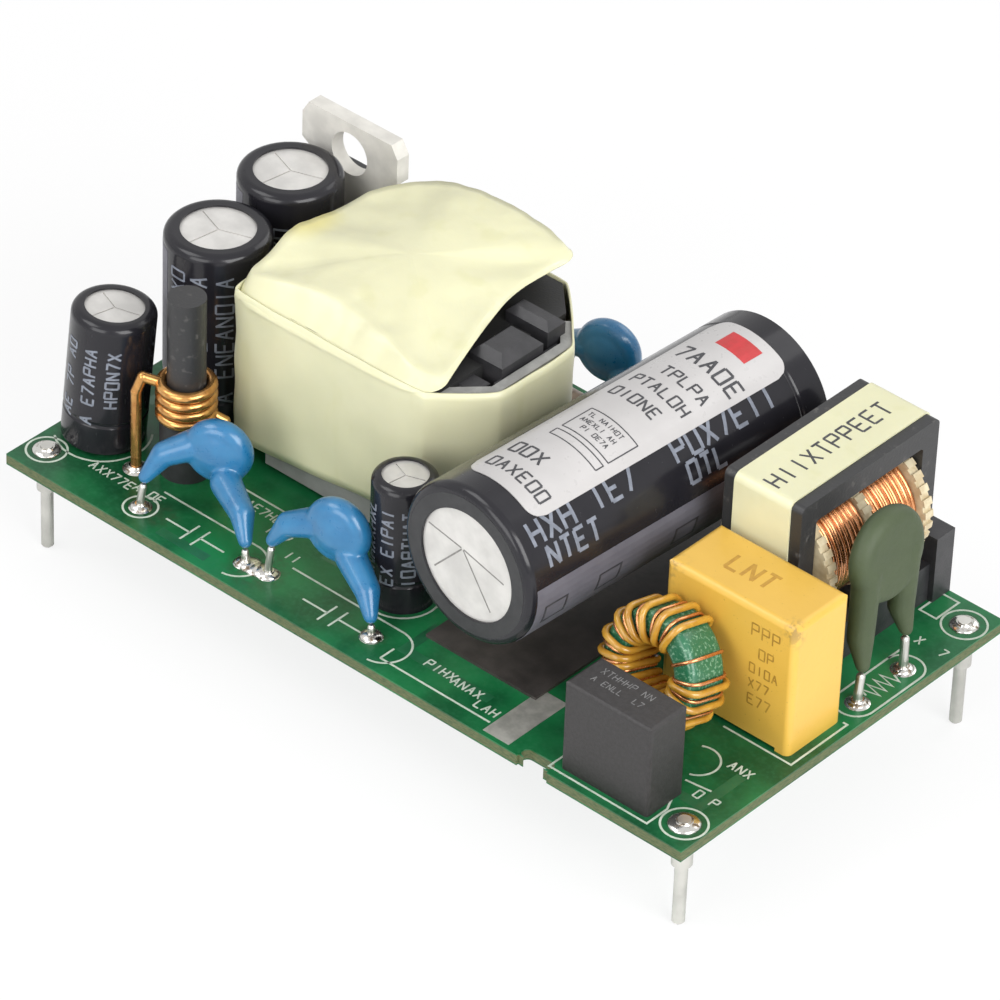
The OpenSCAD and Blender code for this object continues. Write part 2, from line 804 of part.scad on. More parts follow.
module transformer_core() {
    c = [wound_length / 2, wound_depth / 2];
    color(grey) {
        for (z = [0.5, band_top - plate - 0.1]) wound_frame(z) linear_extrude(plate) intersection() {
            wound_outline(core_gap);
            translate([3.5, 0]) square([wound_length - 7.0, wound_depth]);
        }
        wound_frame(0.5) linear_extrude(band_top - 0.6) intersection() {
            wound_outline(core_gap);
            translate([3.5, 0]) union() {
                square([wound_length - 7.0, 2.4]);
                translate([0, wound_depth - 2.4]) square([wound_length - 7.0, 2.4]);
            }
        }
        wound_frame(0.5) translate(c) cylinder(r = 3.2, h = band_top - 0.6);
    }
}

module transformer_bobbin() {
    c = [wound_length / 2, wound_depth / 2];
    low = 0.5 + plate + 0.1;
    high = band_top - plate - 0.2;
    color(black) difference() {
        union() {
            for (z = [low, high - 0.7]) wound_frame(z) linear_extrude(0.7) intersection() {
                wound_outline(core_gap);
                translate([0, 2.4 + core_gap + 0.1]) square([wound_length, wound_depth - 4.8 - 2 * core_gap - 0.2]);
            }
            wound_frame(low) translate(c) cylinder(r = 3.9, h = high - low);
            for (x = [1.1, wound_length - 3.4]) wound_frame(0)
                translate([x, 3.1, 0]) cube([1.3, 10.7, low]);
            for (x = [core_gap + 0.1, wound_length - core_gap - 1.3]) wound_frame(high)
                translate([x, 5.2, 0]) cube([1.2, 7.0, 2.4]);
        }
        wound_frame(0) translate(c) cylinder(r = 3.3, h = 2 * band_top);
        for (p = wound_pins_at) straight_lead(p, 0.35 + fit / 2, low + 1.2);
    }
}

module transformer_winding() {
    c = [wound_length / 2, wound_depth / 2];
    low = 0.5 + plate + 0.1 + 0.7 + fit;
    high = band_top - plate - 0.2 - 0.7 - fit;
    turns = 14;
    w = (high - low) / turns / 2;
    color(copper) wound_frame(low) translate(c) rotate_extrude() {
        translate([3.9 + fit, 0]) square([1.7, high - low]);
        for (i = [0:turns - 1]) translate([5.6 + fit, w * (2 * i + 1)]) circle(r = w - 0.01);
    }
}

module transformer_pins() {
    color(tin) for (p = wound_pins_at) straight_lead(p, 0.35, 2.4);
}

// loose sheet over the top: plateau, slopes and a lifted rear corner
lid_low = band_top + 0.05;
lid_high = 17.5;

module sheet_point(x, y, z) {
    translate(on_board([wound_at[0] + x, wound_at[1] + y, z])) cylinder(r = 0.14, h = 0.2, $fn = 8);
}

module transformer_top_tape() {
    l = wound_length;
    d = wound_depth;
    color(tape) {
        hull() {
            sheet_point(1.2, 2.6, lid_high);
            sheet_point(2.2, d - 1.2, lid_high);
            sheet_point(l - 7.4, d - 0.6, lid_high);
            sheet_point(l - 2.6, d - rear_cut - 1.2, lid_high - 0.7);
            sheet_point(l - 6.2, 2.4, lid_high - 0.8);
        }
        hull() {
            sheet_point(1.2, 2.6, lid_high);
            sheet_point(l - 6.2, 2.4, lid_high - 0.8);
            sheet_point(l - front_cut - 0.6, 0.3, lid_low);
            sheet_point(left_cut, 0.5, lid_low);
        }
        hull() {
            sheet_point(1.2, 2.6, lid_high);
            sheet_point(2.2, d - 1.2, lid_high);
            sheet_point(0.3, d - left_cut - 0.2, lid_low);
            sheet_point(0.3, left_cut, lid_low);
        }
        hull() {
            sheet_point(2.2, d - 1.2, lid_high);
            sheet_point(l - 7.4, d - 0.6, lid_high);
            sheet_point(l - rear_cut, d - 0.3, lid_low);
            sheet_point(left_cut + 0.2, d - 0.3, lid_low);
        }
        hull() {
            sheet_point(l - 7.4, d - 0.6, lid_high);
            sheet_point(l - 2.6, d - rear_cut - 1.2, lid_high - 0.7);
            sheet_point(l - 5.4, d + 0.8, lid_high + 0.7);
        }
        hull() {
            sheet_point(1.2, 2.6, lid_high);
            sheet_point(left_cut, 0.5, lid_low);
            sheet_point(0.3, left_cut, lid_low);
        }
        hull() {
            sheet_point(l - 6.2, 2.4, lid_high - 0.8);
            sheet_point(l - front_cut - 0.6, 0.3, lid_low);
            sheet_point(l - front_cut + 1.0, 1.6, lid_low);
        }
    }
}

// ---- rod inductor ----

rod_foot = 5.0;
tube_top = 4.9;

module rod_core() {
    color(dark) translate(on_board([rod_at[0], rod_at[1], 0.6])) cylinder(r = rod_radius, h = rod_top - 0.6);
}

module rod_tube() {
    color(black) translate(on_board(rod_at)) difference() {
        cylinder(r = rod_radius + 0.55, h = tube_top);
        translate([0, 0, 0.55]) cylinder(r = rod_radius + 0.02, h = tube_top);
    }
}

module rod_coil() {
    coil_r = rod_radius + rod_wire + 0.06;
    pitch = 2 * rod_wire + 0.03;
    z0 = tube_top + rod_wire + 0.1;
    top = z0 + (rod_turns - 1) * pitch;
    a = rod_leads_at[0];
    b = rod_leads_at[1];
    color(copper) {
        for (i = [0:rod_turns - 1])
            translate(on_board([rod_at[0], rod_at[1], z0 + i * pitch])) rotate_extrude()
                translate([coil_r, 0]) circle(r = rod_wire);
        wire([on_board([rod_at[0] - coil_r * 0.75, rod_at[1] - coil_r * 0.66, top]),
            on_board([a[0] + 0.2, a[1] + 0.5, top + 0.4]), on_board([a[0] - 0.1, a[1] + 0.1, top - 0.9]),
            on_board([a[0], a[1], 1.2]), on_board([a[0], a[1], -board_thickness - lead_tail])], rod_wire);
        wire([on_board([rod_at[0] + coil_r * 0.83, rod_at[1] + coil_r * 0.55, z0]),
            on_board([b[0] + 0.2, b[1], z0 - 0.6]), on_board([b[0], b[1], 1.2]),
            on_board([b[0], b[1], -board_thickness - lead_tail])], rod_wire);
    }
}

// ---- output rectifier ----

module rectifier_tab() {
    cut = 1.1;
    notch = 0.75;
    low = tab_top - tab_length;
    color(tin) translate(on_board([tab_at[0], tab_at[1], low])) rotate([90, 0, 180]) linear_extrude(tab_thickness)
        difference() {
            polygon([[-tab_width / 2, 0], [tab_width / 2, 0], [tab_width / 2, tab_length - 5.4],
                [tab_width / 2 - notch, tab_length - 4.9], [tab_width / 2 - notch, tab_length - 3.9],
                [tab_width / 2, tab_length - 3.4], [tab_width / 2, tab_length - cut],
                [tab_width / 2 - cut * 0.6, tab_length], [-tab_width / 2 + cut * 0.6, tab_length],
                [-tab_width / 2, tab_length - cut], [-tab_width / 2, tab_length - 3.4],
                [-tab_width / 2 + notch, tab_length - 3.9], [-tab_width / 2 + notch, tab_length - 4.9],
                [-tab_width / 2, tab_length - 5.4]]);
            translate([0, tab_length - tab_hole_down]) circle(r = tab_hole);
        }
}

module rectifier_body() {
    body = [tab_width, 3.1, 9.2];
    low = tab_top - tab_length;
    color(black) translate(on_board([tab_at[0], tab_at[1] + tab_thickness + fit / 2, low])) difference() {
        translate([-body[0] / 2, 0, 0]) cube(body);
        for (z = [body[2], 0]) translate([0, body[1], z]) rotate([45, 0, 0])
            cube([body[0] + 1, 1.0, 1.0], center = true);
        translate([0, body[1], 6.4]) rotate([90, 0, 0]) cylinder(r = 0.8, h = 0.3, center = true);
    }
}

module rectifier_leads() {
    low = tab_top - tab_length;
    color(tin) for (p = rectifier_leads_at) straight_lead(p, 0.42, low - fit);
}

// ---- underside ----

// body hanging under the board, with flat legs reaching the board
module under_chip(size, legs, pitch, reach) {
    leg_w = 0.4;
    mirror([0, 0, 1]) {
        translate([0, 0, 0.15]) soft_block(size, 0.12);
        for (s = [-1, 1], i = [0:legs - 1])
            translate([(i - (legs - 1) / 2) * pitch - leg_w / 2, s > 0 ? size[1] / 2 - 0.05 : -size[1] / 2 - reach + 0.05, 0])
                cube([leg_w, reach, 0.45]);
    }
}

module under(x, y, a) {
    translate(on_board([x, y, -board_thickness])) rotate([0, 0, a]) children();
}

module bridge_rectifier() { color(black) under(board_length - 17.2, board_width - 10.5, 90) under_chip([4.8, 3.9, 1.5], 2, 2.54, 1.1); }

module flat_transistor() {
    body = [6.5, 3.5, 1.6];
    color(black) under(bulk_front[0] + 2.3, board_width - 5.7, 0) mirror([0, 0, 1]) {
        translate([0, 0, 0.1]) soft_block(body, 0.12);
        translate([-1.5, -body[1] / 2 - 1.7, 0]) cube([3.0, 1.75, 0.35]);
        for (x = [-2.3, 0, 2.3]) translate([x - 0.35, body[1] / 2 - 0.05, 0]) cube([0.7, 1.75, 0.35]);
    }
}

module control_chip() { color(black) under(bulk_front[0] - 2.0, 13.0, 0) under_chip([4.9, 3.9, 1.4], 4, 1.27, 1.0); }
module optocoupler() { color(black) under(16.8, board_width - 3.8, 90) under_chip([4.4, 5.6, 2.0], 2, 2.54, 1.2); }

module fast_diodes() {
    color(black) for (p = [[41.0, 22.0], [41.0, 26.0], [10.6, 13.2]])
        under(p[0], p[1], 0) under_chip([4.2, 2.6, 1.6], 1, 1, 0.5);
}

chip_rows = [[[44.0, 8.4], [46.2, 8.4], [48.4, 8.4], [36.6, 5.8], [38.8, 5.8]], [[16.5, 7.2], [18.7, 7.2], [44.0, 18.2], [46.2, 18.2]]];

module chip(size) { mirror([0, 0, 1]) translate([-size[0] / 2, -size[1] / 2, 0]) cube(size); }

module chip_resistors() {
    color(dark) for (p = chip_rows[0]) under(p[0], p[1], 90) chip([1.9, 1.2, 0.5]);
}

module chip_capacitors() {
    color([0.6, 0.5, 0.4]) for (p = chip_rows[1]) under(p[0], p[1], 90) chip([1.9, 1.2, 1.1]);
}
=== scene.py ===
import json
import math
import random

import bpy
from mathutils import Matrix, Vector, noise

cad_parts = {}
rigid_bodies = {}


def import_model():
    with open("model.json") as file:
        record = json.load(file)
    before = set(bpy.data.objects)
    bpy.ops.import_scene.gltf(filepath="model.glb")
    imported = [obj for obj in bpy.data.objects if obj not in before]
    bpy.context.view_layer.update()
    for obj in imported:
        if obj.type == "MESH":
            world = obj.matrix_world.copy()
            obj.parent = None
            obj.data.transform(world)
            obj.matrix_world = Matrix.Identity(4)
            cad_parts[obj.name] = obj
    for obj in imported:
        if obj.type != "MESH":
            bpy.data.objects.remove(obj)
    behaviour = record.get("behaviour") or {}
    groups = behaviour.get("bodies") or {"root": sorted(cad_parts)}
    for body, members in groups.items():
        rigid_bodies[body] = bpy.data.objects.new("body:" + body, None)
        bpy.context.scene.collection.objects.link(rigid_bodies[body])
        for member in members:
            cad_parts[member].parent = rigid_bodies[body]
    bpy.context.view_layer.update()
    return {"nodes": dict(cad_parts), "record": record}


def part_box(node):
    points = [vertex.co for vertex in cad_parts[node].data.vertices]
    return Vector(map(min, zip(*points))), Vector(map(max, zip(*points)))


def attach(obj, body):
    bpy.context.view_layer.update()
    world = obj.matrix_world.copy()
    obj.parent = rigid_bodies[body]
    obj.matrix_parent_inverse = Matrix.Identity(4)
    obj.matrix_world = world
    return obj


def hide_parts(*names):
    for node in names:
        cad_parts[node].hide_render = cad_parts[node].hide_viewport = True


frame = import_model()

MM = 0.001
rad = math.radians
nodes = frame["nodes"]
scene = bpy.context.scene

# ---------------------------------------------------------------- board layout, millimetres

LOW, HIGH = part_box("board")
BOARD_X, BOARD_Y = LOW[0] / MM, LOW[1] / MM
BOARD_TOP = HIGH[2] / MM
THICK = (HIGH[2] - LOW[2]) / MM
LENGTH = (HIGH[0] - LOW[0]) / MM
WIDTH = (HIGH[1] - LOW[1]) / MM


def spot(x, y, z=0.0):
    """A point given from the left front corner of the board's upper face."""
    return Vector(((x + BOARD_X) * MM, (y + BOARD_Y) * MM, (z + BOARD_TOP) * MM))


def box_of(node):
    """The two corners of a node, in millimetres."""
    return (Vector(v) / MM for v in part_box(node))


# ---------------------------------------------------------------- nodes and shader maths

def add_node(tree, kind, settings, inputs, out=0):
    """Adds a node and sets it, then links or sets its inputs. Gives back one of its outputs."""
    n = tree.nodes.new(kind)
    for key, value in settings.items():
        setattr(n, key, value)
    for key, value in inputs.items():
        if isinstance(value, bpy.types.NodeSocket):
            tree.links.new(value, n.inputs[key])
        else:
            n.inputs[key].default_value = value
    return n.outputs[out] if n.outputs else None


class Sock:
    """An output socket that can be used in plain expressions."""

    def __init__(self, finish, socket):
        self.finish, self.socket = finish, socket

    def _do(self, operation, *others):
        return self.finish.maths(operation, self, *others)

    def __add__(self, o): return self._do("ADD", o)
    __radd__ = __add__
    def __sub__(self, o): return self._do("SUBTRACT", o)
    def __rsub__(self, o): return self.finish.maths("SUBTRACT", o, self)
    def __mul__(self, o): return self._do("MULTIPLY", o)
    __rmul__ = __mul__
    def __gt__(self, o): return self._do("GREATER_THAN", o)
    def __lt__(self, o): return self._do("LESS_THAN", o)
    def abs(self): return self._do("ABSOLUTE")

    def between(self, low, high):
        """0 at low, 1 at high, smooth in between."""
        return self.finish.node("ShaderNodeMapRange", {"interpolation_type": "SMOOTHSTEP"},
                                {"Value": self, "From Min": low, "From Max": high})


class Finish:
    """One procedural material."""

    def __init__(self, name, roughness=0.5, metallic=0.0, coat=0.0, coat_roughness=0.1, specular=0.5):
        self.material = bpy.data.materials.new(name)
        self.material.use_nodes = True
        self.tree = self.material.node_tree
        self.tree.nodes.clear()
        self.shader = self.tree.nodes.new("ShaderNodeBsdfPrincipled")
        out = self.tree.nodes.new("ShaderNodeOutputMaterial")
        self.tree.links.new(self.shader.outputs[0], out.inputs[0])
        for key, value in (("Roughness", roughness), ("Metallic", metallic), ("Coat Weight", coat),
                           ("Coat Roughness", coat_roughness), ("Specular IOR Level", specular)):
            self.shader.inputs[key].default_value = value
        self.place = self.node("ShaderNodeTexCoord", {}, {}, "Object")

    def node(self, kind, settings, inputs, out=0):
        plugs = {key: value.socket if isinstance(value, Sock) else value for key, value in inputs.items()}
        return Sock(self, add_node(self.tree, kind, settings, plugs, out))

    def maths(self, operation, *values):
        return self.node("ShaderNodeMath", {"operation": operation}, dict(enumerate(values)))

    def feed(self, key, value):
        """Links a socket to an input of the shader."""
        self.tree.links.new(value.socket, self.shader.inputs[key])

    def noise(self, size, detail=3.0, stretch=(1, 1, 1), roughness=0.55):
        """Noise whose blotches are about size millimetres across."""
        at = self.node("ShaderNodeMapping", {}, {"Vector": self.place, "Scale": stretch})
        return self.node("ShaderNodeTexNoise", {}, {"Vector": at, "Scale": 1 / (size * MM), "Detail": detail,
                                                    "Roughness": roughness})

    def axis(self, name):
        """The place along one axis, in millimetres."""
        return self.node("ShaderNodeSeparateXYZ", {}, {"Vector": self.place}, name) * (1 / MM)

    def blend(self, factor, a, b):
        rgba = lambda c: c if isinstance(c, Sock) else (*c, 1.0)
        return self.node("ShaderNodeMix", {"data_type": "RGBA"}, {0: factor, 6: rgba(a), 7: rgba(b)}, 2)

    def ring(self, centre, radius, soft):
        """1 inside a circle on the board, fading over soft millimetres."""
        c = spot(*centre)
        x = self.axis("X") - c.x / MM
        y = self.axis("Y") - c.y / MM
        return 1 - self.maths("SQRT", x * x + y * y).between(radius, radius + soft)

    def bump(self, height, strength, distance=0.05):
        self.feed("Normal", self.node("ShaderNodeBump", {}, {"Height": height, "Strength": strength,
                                                             "Distance": distance * MM}))


def plain(name, colour, other, size, rough, fine, bump, metallic=0.0, coat=0.0):
    """A finish whose colour wanders between two tones, with fine grain in its bump and gloss."""
    spread = 0.08
    f = Finish(name, rough, metallic, coat)
    broad = f.noise(size, 4)
    grain = f.noise(fine, 3)
    f.feed("Base Color", f.blend(broad.between(0.3, 0.7), colour, other))
    f.feed("Roughness", (grain - 0.5) * spread * 2 + broad * spread + (rough - spread / 2))
    f.bump(grain, bump)
    return f


# ---------------------------------------------------------------- finishes

def board_finish():
    """Green mask with stained pads' surroundings, and bare laminate at the cut edges."""
    f = Finish("solder_mask", 0.34, coat=0.08, coat_roughness=0.16, specular=0.3)
    z = f.axis("Z")
    cloud = f.noise(9, 3)
    fine = f.noise(0.35, 3)
    weave = f.noise(0.8, 2, (1, 3, 1))
    mask = f.blend(cloud.between(0.35, 0.68), (0.003, 0.062, 0.02), (0.012, 0.175, 0.055))
    mask = f.blend(fine.between(0.4, 0.75) * 0.3, mask, (0.03, 0.17, 0.075))
    for centre, r in (((14.0, 2.6), 1.2), ((23.6, 2.9), 2.2), ((35.2, 2.8), 1.1), ((65.9, 21.8), 0.9),
                      ((65.9, 27.2), 0.9), ((65.85, 2.5), 1.4), ((1.85, 2.5), 1.5), ((65.85, 34.5), 1.4)):
        stain = f.ring(centre, r * 0.7, r * 0.8) * f.noise(0.5, 2).between(0.25, 0.7)
        mask = f.blend(stain * 0.5, mask, (0.03, 0.05, 0.025))
    layers = f.noise(0.5, 3, (1, 1, 6)).between(0.35, 0.7)
    laminate = f.blend(layers, (0.12, 0.135, 0.06), (0.05, 0.085, 0.035))
    edge = (z > BOARD_TOP - 0.12) + (z < BOARD_TOP - THICK + 0.12)
    f.feed("Base Color", f.blend(edge, laminate, mask))
    f.feed("Roughness", 0.62 - edge * 0.3 + (fine - 0.5) * 0.1)
    f.bump(fine * 0.4 + weave * 0.4 + f.noise(0.05, 2) * 0.2, 0.22, 0.03)
    return f


def tape_finish(name, colour, folds):
    """Thin polyester tape: satin, slightly uneven, darker where it doubles."""
    f = Finish(name, 0.36, coat=0.12, coat_roughness=0.2)
    f.shader.inputs["Subsurface Weight"].default_value = 0.12
    f.shader.inputs["Subsurface Radius"].default_value = (1.0 * MM, 0.8 * MM, 0.4 * MM)
    broad = f.noise(7, 3)
    folded = f.noise(2.6, 2, (1, 1, 0.3))
    tone = f.blend(broad.between(0.3, 0.7), colour, tuple(c * 0.93 for c in colour))
    doubled = tuple(c * k for c, k in zip(colour, (0.8, 0.8, 0.55)))
    tone = f.blend(folded.between(0.56, 0.72) * 0.22, tone, doubled)
    # painted highlight: the glossy yellow sheen on a fold at the output side, painted into the colour as a
    # saturated yellow patch
    tone = f.blend(f.ring((11.4, 20.4), 1.4, 2.4) * 0.65, tone, (0.66, 0.58, 0.16))
    f.feed("Base Color", tone)
    f.feed("Roughness", broad * 0.14 + 0.28)
    f.bump(folded * 0.6 + f.noise(0.5, 2) * 0.12, folds, 0.3)
    return f


def sleeve_finish():
    f = Finish("sleeve", 0.22, coat=0.1, coat_roughness=0.08, specular=0.28)
    broad = f.noise(3, 3)
    scuff = f.noise(0.5, 5, (1, 1, 0.2))
    f.feed("Base Color", f.blend(broad, (0.009, 0.009, 0.012), (0.018, 0.017, 0.021)))
    f.feed("Roughness", 0.16 + broad * 0.08 + scuff.between(0.6, 0.75) * 0.12)
    f.bump(broad * 0.6 + scuff * 0.4, 0.1, 0.06)
    return f


def ferrite_finish():
    f = Finish("ferrite", 0.52)
    worn = f.noise(0.7, 5).between(0.58, 0.74)
    f.feed("Base Color", f.blend(worn * 0.6, (0.02, 0.02, 0.021), (0.11, 0.105, 0.1)))
    f.feed("Roughness", 0.46 + worn * 0.2)
    f.bump(f.noise(0.25, 4), 0.35, 0.05)
    return f


def film_finish():
    f = Finish("film_case", 0.38, coat=0.2, coat_roughness=0.2)
    low, high = box_of("film_capacitor")
    broad = f.noise(4, 3)
    speck = f.noise(0.22, 2).between(0.68, 0.78)
    tone = f.blend(broad, (0.63, 0.375, 0.052), (0.71, 0.44, 0.077))
    tone = f.blend(speck * 0.5, tone, (0.2, 0.11, 0.02))
    # scuffs where two upper corners have been rubbed
    top = f.axis("Z").between(high.z - 2.6, high.z - 0.3)
    for x in (high.x, low.x):
        side = 1 - (f.axis("X") - x).abs().between(0.4, 2.0)
        front = 1 - (f.axis("Y") - low.y).abs().between(0.3, 1.6)
        mark = top * side * front * f.noise(0.6, 4).between(0.42, 0.6)
        tone = f.blend(mark * 0.65, tone, (0.2, 0.13, 0.05))
    f.feed("Base Color", tone)
    f.feed("Roughness", 0.32 + broad * 0.16)
    f.bump(f.noise(0.6, 4), 0.2, 0.08)
    return f


def thermistor_finish():
    f = Finish("thermistor_coat", 0.62)
    dust = f.noise(0.16, 2).between(0.62, 0.75)
    tone = f.blend(f.noise(2, 4), (0.036, 0.052, 0.021), (0.052, 0.073, 0.03))
    f.feed("Base Color", f.blend(dust * 0.5, tone, (0.03, 0.05, 0.03)))
    f.feed("Roughness", 0.5 + f.noise(0.5, 3) * 0.2)
    f.bump(f.noise(0.3, 4), 0.45, 0.06)
    return f


def toroid_finish():
    f = Finish("core_coating", 0.35, coat=0.2)
    chip = f.noise(0.22, 4).between(0.52, 0.66)
    f.feed("Base Color", f.blend(chip * 0.7, (0.018, 0.13, 0.06), (0.22, 0.4, 0.27)))
    f.feed("Roughness", 0.3 + chip * 0.2)
    f.bump(f.noise(0.2, 4), 0.4, 0.05)
    return f


def solder_finish():
    f = Finish("solder", 0.24, metallic=1.0)
    flux = f.noise(0.5, 4).between(0.5, 0.68)
    f.feed("Base Color", f.blend(flux, (0.62, 0.61, 0.58), (0.16, 0.12, 0.08)))
    f.feed("Roughness", 0.16 + flux * 0.35)
    f.bump(f.noise(0.3, 3), 0.3, 0.06)
    return f


def metal(name, colour, rough, scratch=(1, 1, 8), metallic=1.0):
    f = Finish(name, rough, metallic=metallic)
    line = f.noise(0.3, 4, scratch)
    broad = f.noise(2.5, 3)
    f.feed("Base Color", f.blend(broad.between(0.3, 0.7), colour, tuple(c * 0.82 for c in colour)))
    f.feed("Roughness", rough - 0.06 + line * 0.14)
    f.bump(line, 0.12, 0.03)
    return f


def core_finish():
    """Pale where the foot of the core shows, dark up inside the tape."""
    f = Finish("core_ferrite", 0.6)
    foot = 1 - f.axis("Z").between(BOARD_TOP + 5.0, BOARD_TOP + 8.0)
    pale = f.blend(f.noise(1.2), (0.3, 0.3, 0.285), (0.2, 0.2, 0.19))
    f.feed("Base Color", f.blend(foot, (0.016, 0.016, 0.016), pale))
    f.bump(f.noise(0.2, 4), 0.3)
    return f


def legged_finish(name, axis, bodies):
    """A moulded body with bare legs beyond it. bodies are the runs along one axis that mouldings take."""
    f = Finish(name, 0.45)
    shift = BOARD_X if axis == "X" else BOARD_Y
    along, soft = f.axis(axis), 0.02
    inside = sum(along.between(low - soft, low) * (1 - along.between(high, high + soft))
                 for low, high in ((a + shift, b + shift) for a, b in bodies))
    f.feed("Base Color", f.blend(inside, (0.62, 0.61, 0.57), (0.022, 0.022, 0.024)))
    f.feed("Metallic", 0.9 - inside * 0.9)
    f.bump(f.noise(0.15, 4), 0.2)
    return f


# tone, second tone, blotch size, roughness, grain size, bump, metallic, coat
PLAIN = {
    "fuse_case": ((0.016, 0.014, 0.014), (0.026, 0.024, 0.024), 0.3, 0.5, 0.1, 0.35),
    "insulated_wire": ((0.55, 0.3, 0.035), (0.42, 0.2, 0.02), 1.2, 0.24, 0.4, 0.12, 0.0, 0.3),
    "enamelled_wire": ((0.72, 0.33, 0.15), (0.55, 0.22, 0.08), 1.0, 0.26, 0.3, 0.1, 0.9, 0.3),
    "golden_wire": ((0.62, 0.33, 0.1), (0.42, 0.19, 0.05), 0.9, 0.24, 0.3, 0.1, 0.85, 0.3),
    "bobbin_plastic": ((0.66, 0.58, 0.4), (0.5, 0.4, 0.24), 1.0, 0.48, 0.3, 0.2),
    "black_plastic": ((0.02, 0.02, 0.022), (0.034, 0.033, 0.036), 1.5, 0.45, 0.15, 0.25),
    "label": ((0.5, 0.485, 0.48), (0.46, 0.445, 0.44), 5, 0.3, 0.6, 0.04, 0.0, 0.3),
    "insulating_film": ((0.03, 0.026, 0.024), (0.055, 0.048, 0.044), 2, 0.5, 0.3, 0.25),
    "disc_coat": ((0.014, 0.135, 0.3), (0.022, 0.17, 0.35), 1.6, 0.3, 0.35, 0.3, 0.0, 0.35),
    "resistor_coat": ((0.55, 0.42, 0.34), (0.46, 0.34, 0.27), 1.0, 0.4, 0.3, 0.15),
    "chip_ceramic": ((0.32, 0.22, 0.14), (0.26, 0.18, 0.12), 0.6, 0.55, 0.2, 0.15),
    "pale_ferrite": ((0.3, 0.3, 0.285), (0.22, 0.22, 0.21), 1.2, 0.6, 0.2, 0.3),
    "silkscreen": ((0.56, 0.62, 0.54), (0.42, 0.5, 0.41), 0.6, 0.55, 0.1, 0.15),
    "covered_copper": ((0.016, 0.13, 0.052), (0.01, 0.095, 0.038), 2, 0.33, 0.3, 0.1, 0.0, 0.25),
    "tinned_copper": ((0.62, 0.61, 0.56), (0.42, 0.42, 0.38), 1.2, 0.42, 0.3, 0.2, 0.6),
    "sleeve_stripe": ((0.135, 0.133, 0.158), (0.11, 0.108, 0.13), 3, 0.5, 0.4, 0.08),
    "pale_print": ((0.22, 0.24, 0.29), (0.15, 0.165, 0.2), 0.7, 0.4, 0.1, 0.1),
    "dark_ink": ((0.03, 0.03, 0.035), (0.055, 0.055, 0.06), 0.5, 0.5, 0.1, 0.1),
    "red_ink": ((0.5, 0.03, 0.035), (0.42, 0.03, 0.03), 0.8, 0.4, 0.2, 0.1),
    "pressed_mark": ((0.42, 0.22, 0.03), (0.5, 0.28, 0.04), 0.5, 0.4, 0.1, 0.1),
    "fuse_ink": ((0.2, 0.2, 0.2), (0.12, 0.12, 0.12), 0.4, 0.6, 0.1, 0.1),
    "faint_ink": ((0.3, 0.16, 0.02), (0.42, 0.24, 0.03), 0.5, 0.5, 0.1, 0.1),
    "score_line": ((0.3, 0.29, 0.28), (0.22, 0.21, 0.2), 0.5, 0.5, 0.1, 0.1, 0.6),
    "end_ring": ((0.014, 0.014, 0.016), (0.026, 0.026, 0.028), 1, 0.5, 0.1, 0.1),
}
# surface-mount nodes under the board: the axis their legs point along, and the runs their bodies take on it
LEGGED = {
    "control_chip": ("Y", [(11.05, 14.95)]),
    "optocoupler": ("X", [(14.0, 19.6)]),
    "bridge_rectifier": ("X", [(LENGTH - 19.15, LENGTH - 15.25)]),
    "fast_diodes": ("Y", [(20.7, 23.3), (24.7, 27.3), (11.9, 14.5)]),
    "flat_transistor": ("Y", [(29.55, 33.05)]),
}
FINISHES = {
    "solder_mask": board_finish(),
    "tinned_wire": metal("tinned_wire", (0.66, 0.65, 0.61), 0.34),
    "tinned_tab": metal("tinned_tab", (0.74, 0.72, 0.67), 0.55, (6, 1, 1), 0.5),
    "can_aluminium": metal("can_aluminium", (0.68, 0.665, 0.64), 0.5, (1, 1, 1), 0.5),
    "solder": solder_finish(),
    "core_coating": toroid_finish(),
    "film_case": film_finish(),
    "thermistor_coat": thermistor_finish(),
    "ferrite": ferrite_finish(),
    "core_ferrite": core_finish(),
    "polyester_tape": tape_finish("polyester_tape", (0.7, 0.685, 0.455), 0.3),
    "sleeve": sleeve_finish(),
    **{name: plain(name, *values) for name, values in PLAIN.items()},
    **{name: legged_finish(name, *values) for name, values in LEGGED.items()},
}
# nodes whose finish isn't their slot's own
OWN_FINISH = {"rod_coil": "golden_wire", "transformer_core": "core_ferrite",
              **{name: name for name in LEGGED}}


def dress(mesh, finish):
    mesh.materials.clear()
    mesh.materials.append(FINISHES[finish].material)


for entry in frame["record"]["subparts"]:
    dress(nodes[entry["node"]].data, OWN_FINISH.get(entry["node"], entry["material_slot"]))

# ---------------------------------------------------------------- mesh helpers


def piece(name, verts, faces, finish, slot, smooth=False, replaces=()):
    mesh = bpy.data.meshes.new(name)
    mesh.from_pydata([tuple(v) for v in verts], [], faces)
    mesh.validate()
    dress(mesh, finish)
    for face in mesh.polygons:
        face.use_smooth = smooth
    return settle(bpy.data.objects.new(name, mesh), slot, replaces)


def settle(obj, slot, replaces=()):
    """Puts a finished piece in the scene, on the one body. The slot argument is not used."""
    if obj.name not in scene.collection.objects:
        scene.collection.objects.link(obj)
    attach(obj, "root")
    if replaces:
        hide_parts(*replaces)
    return obj


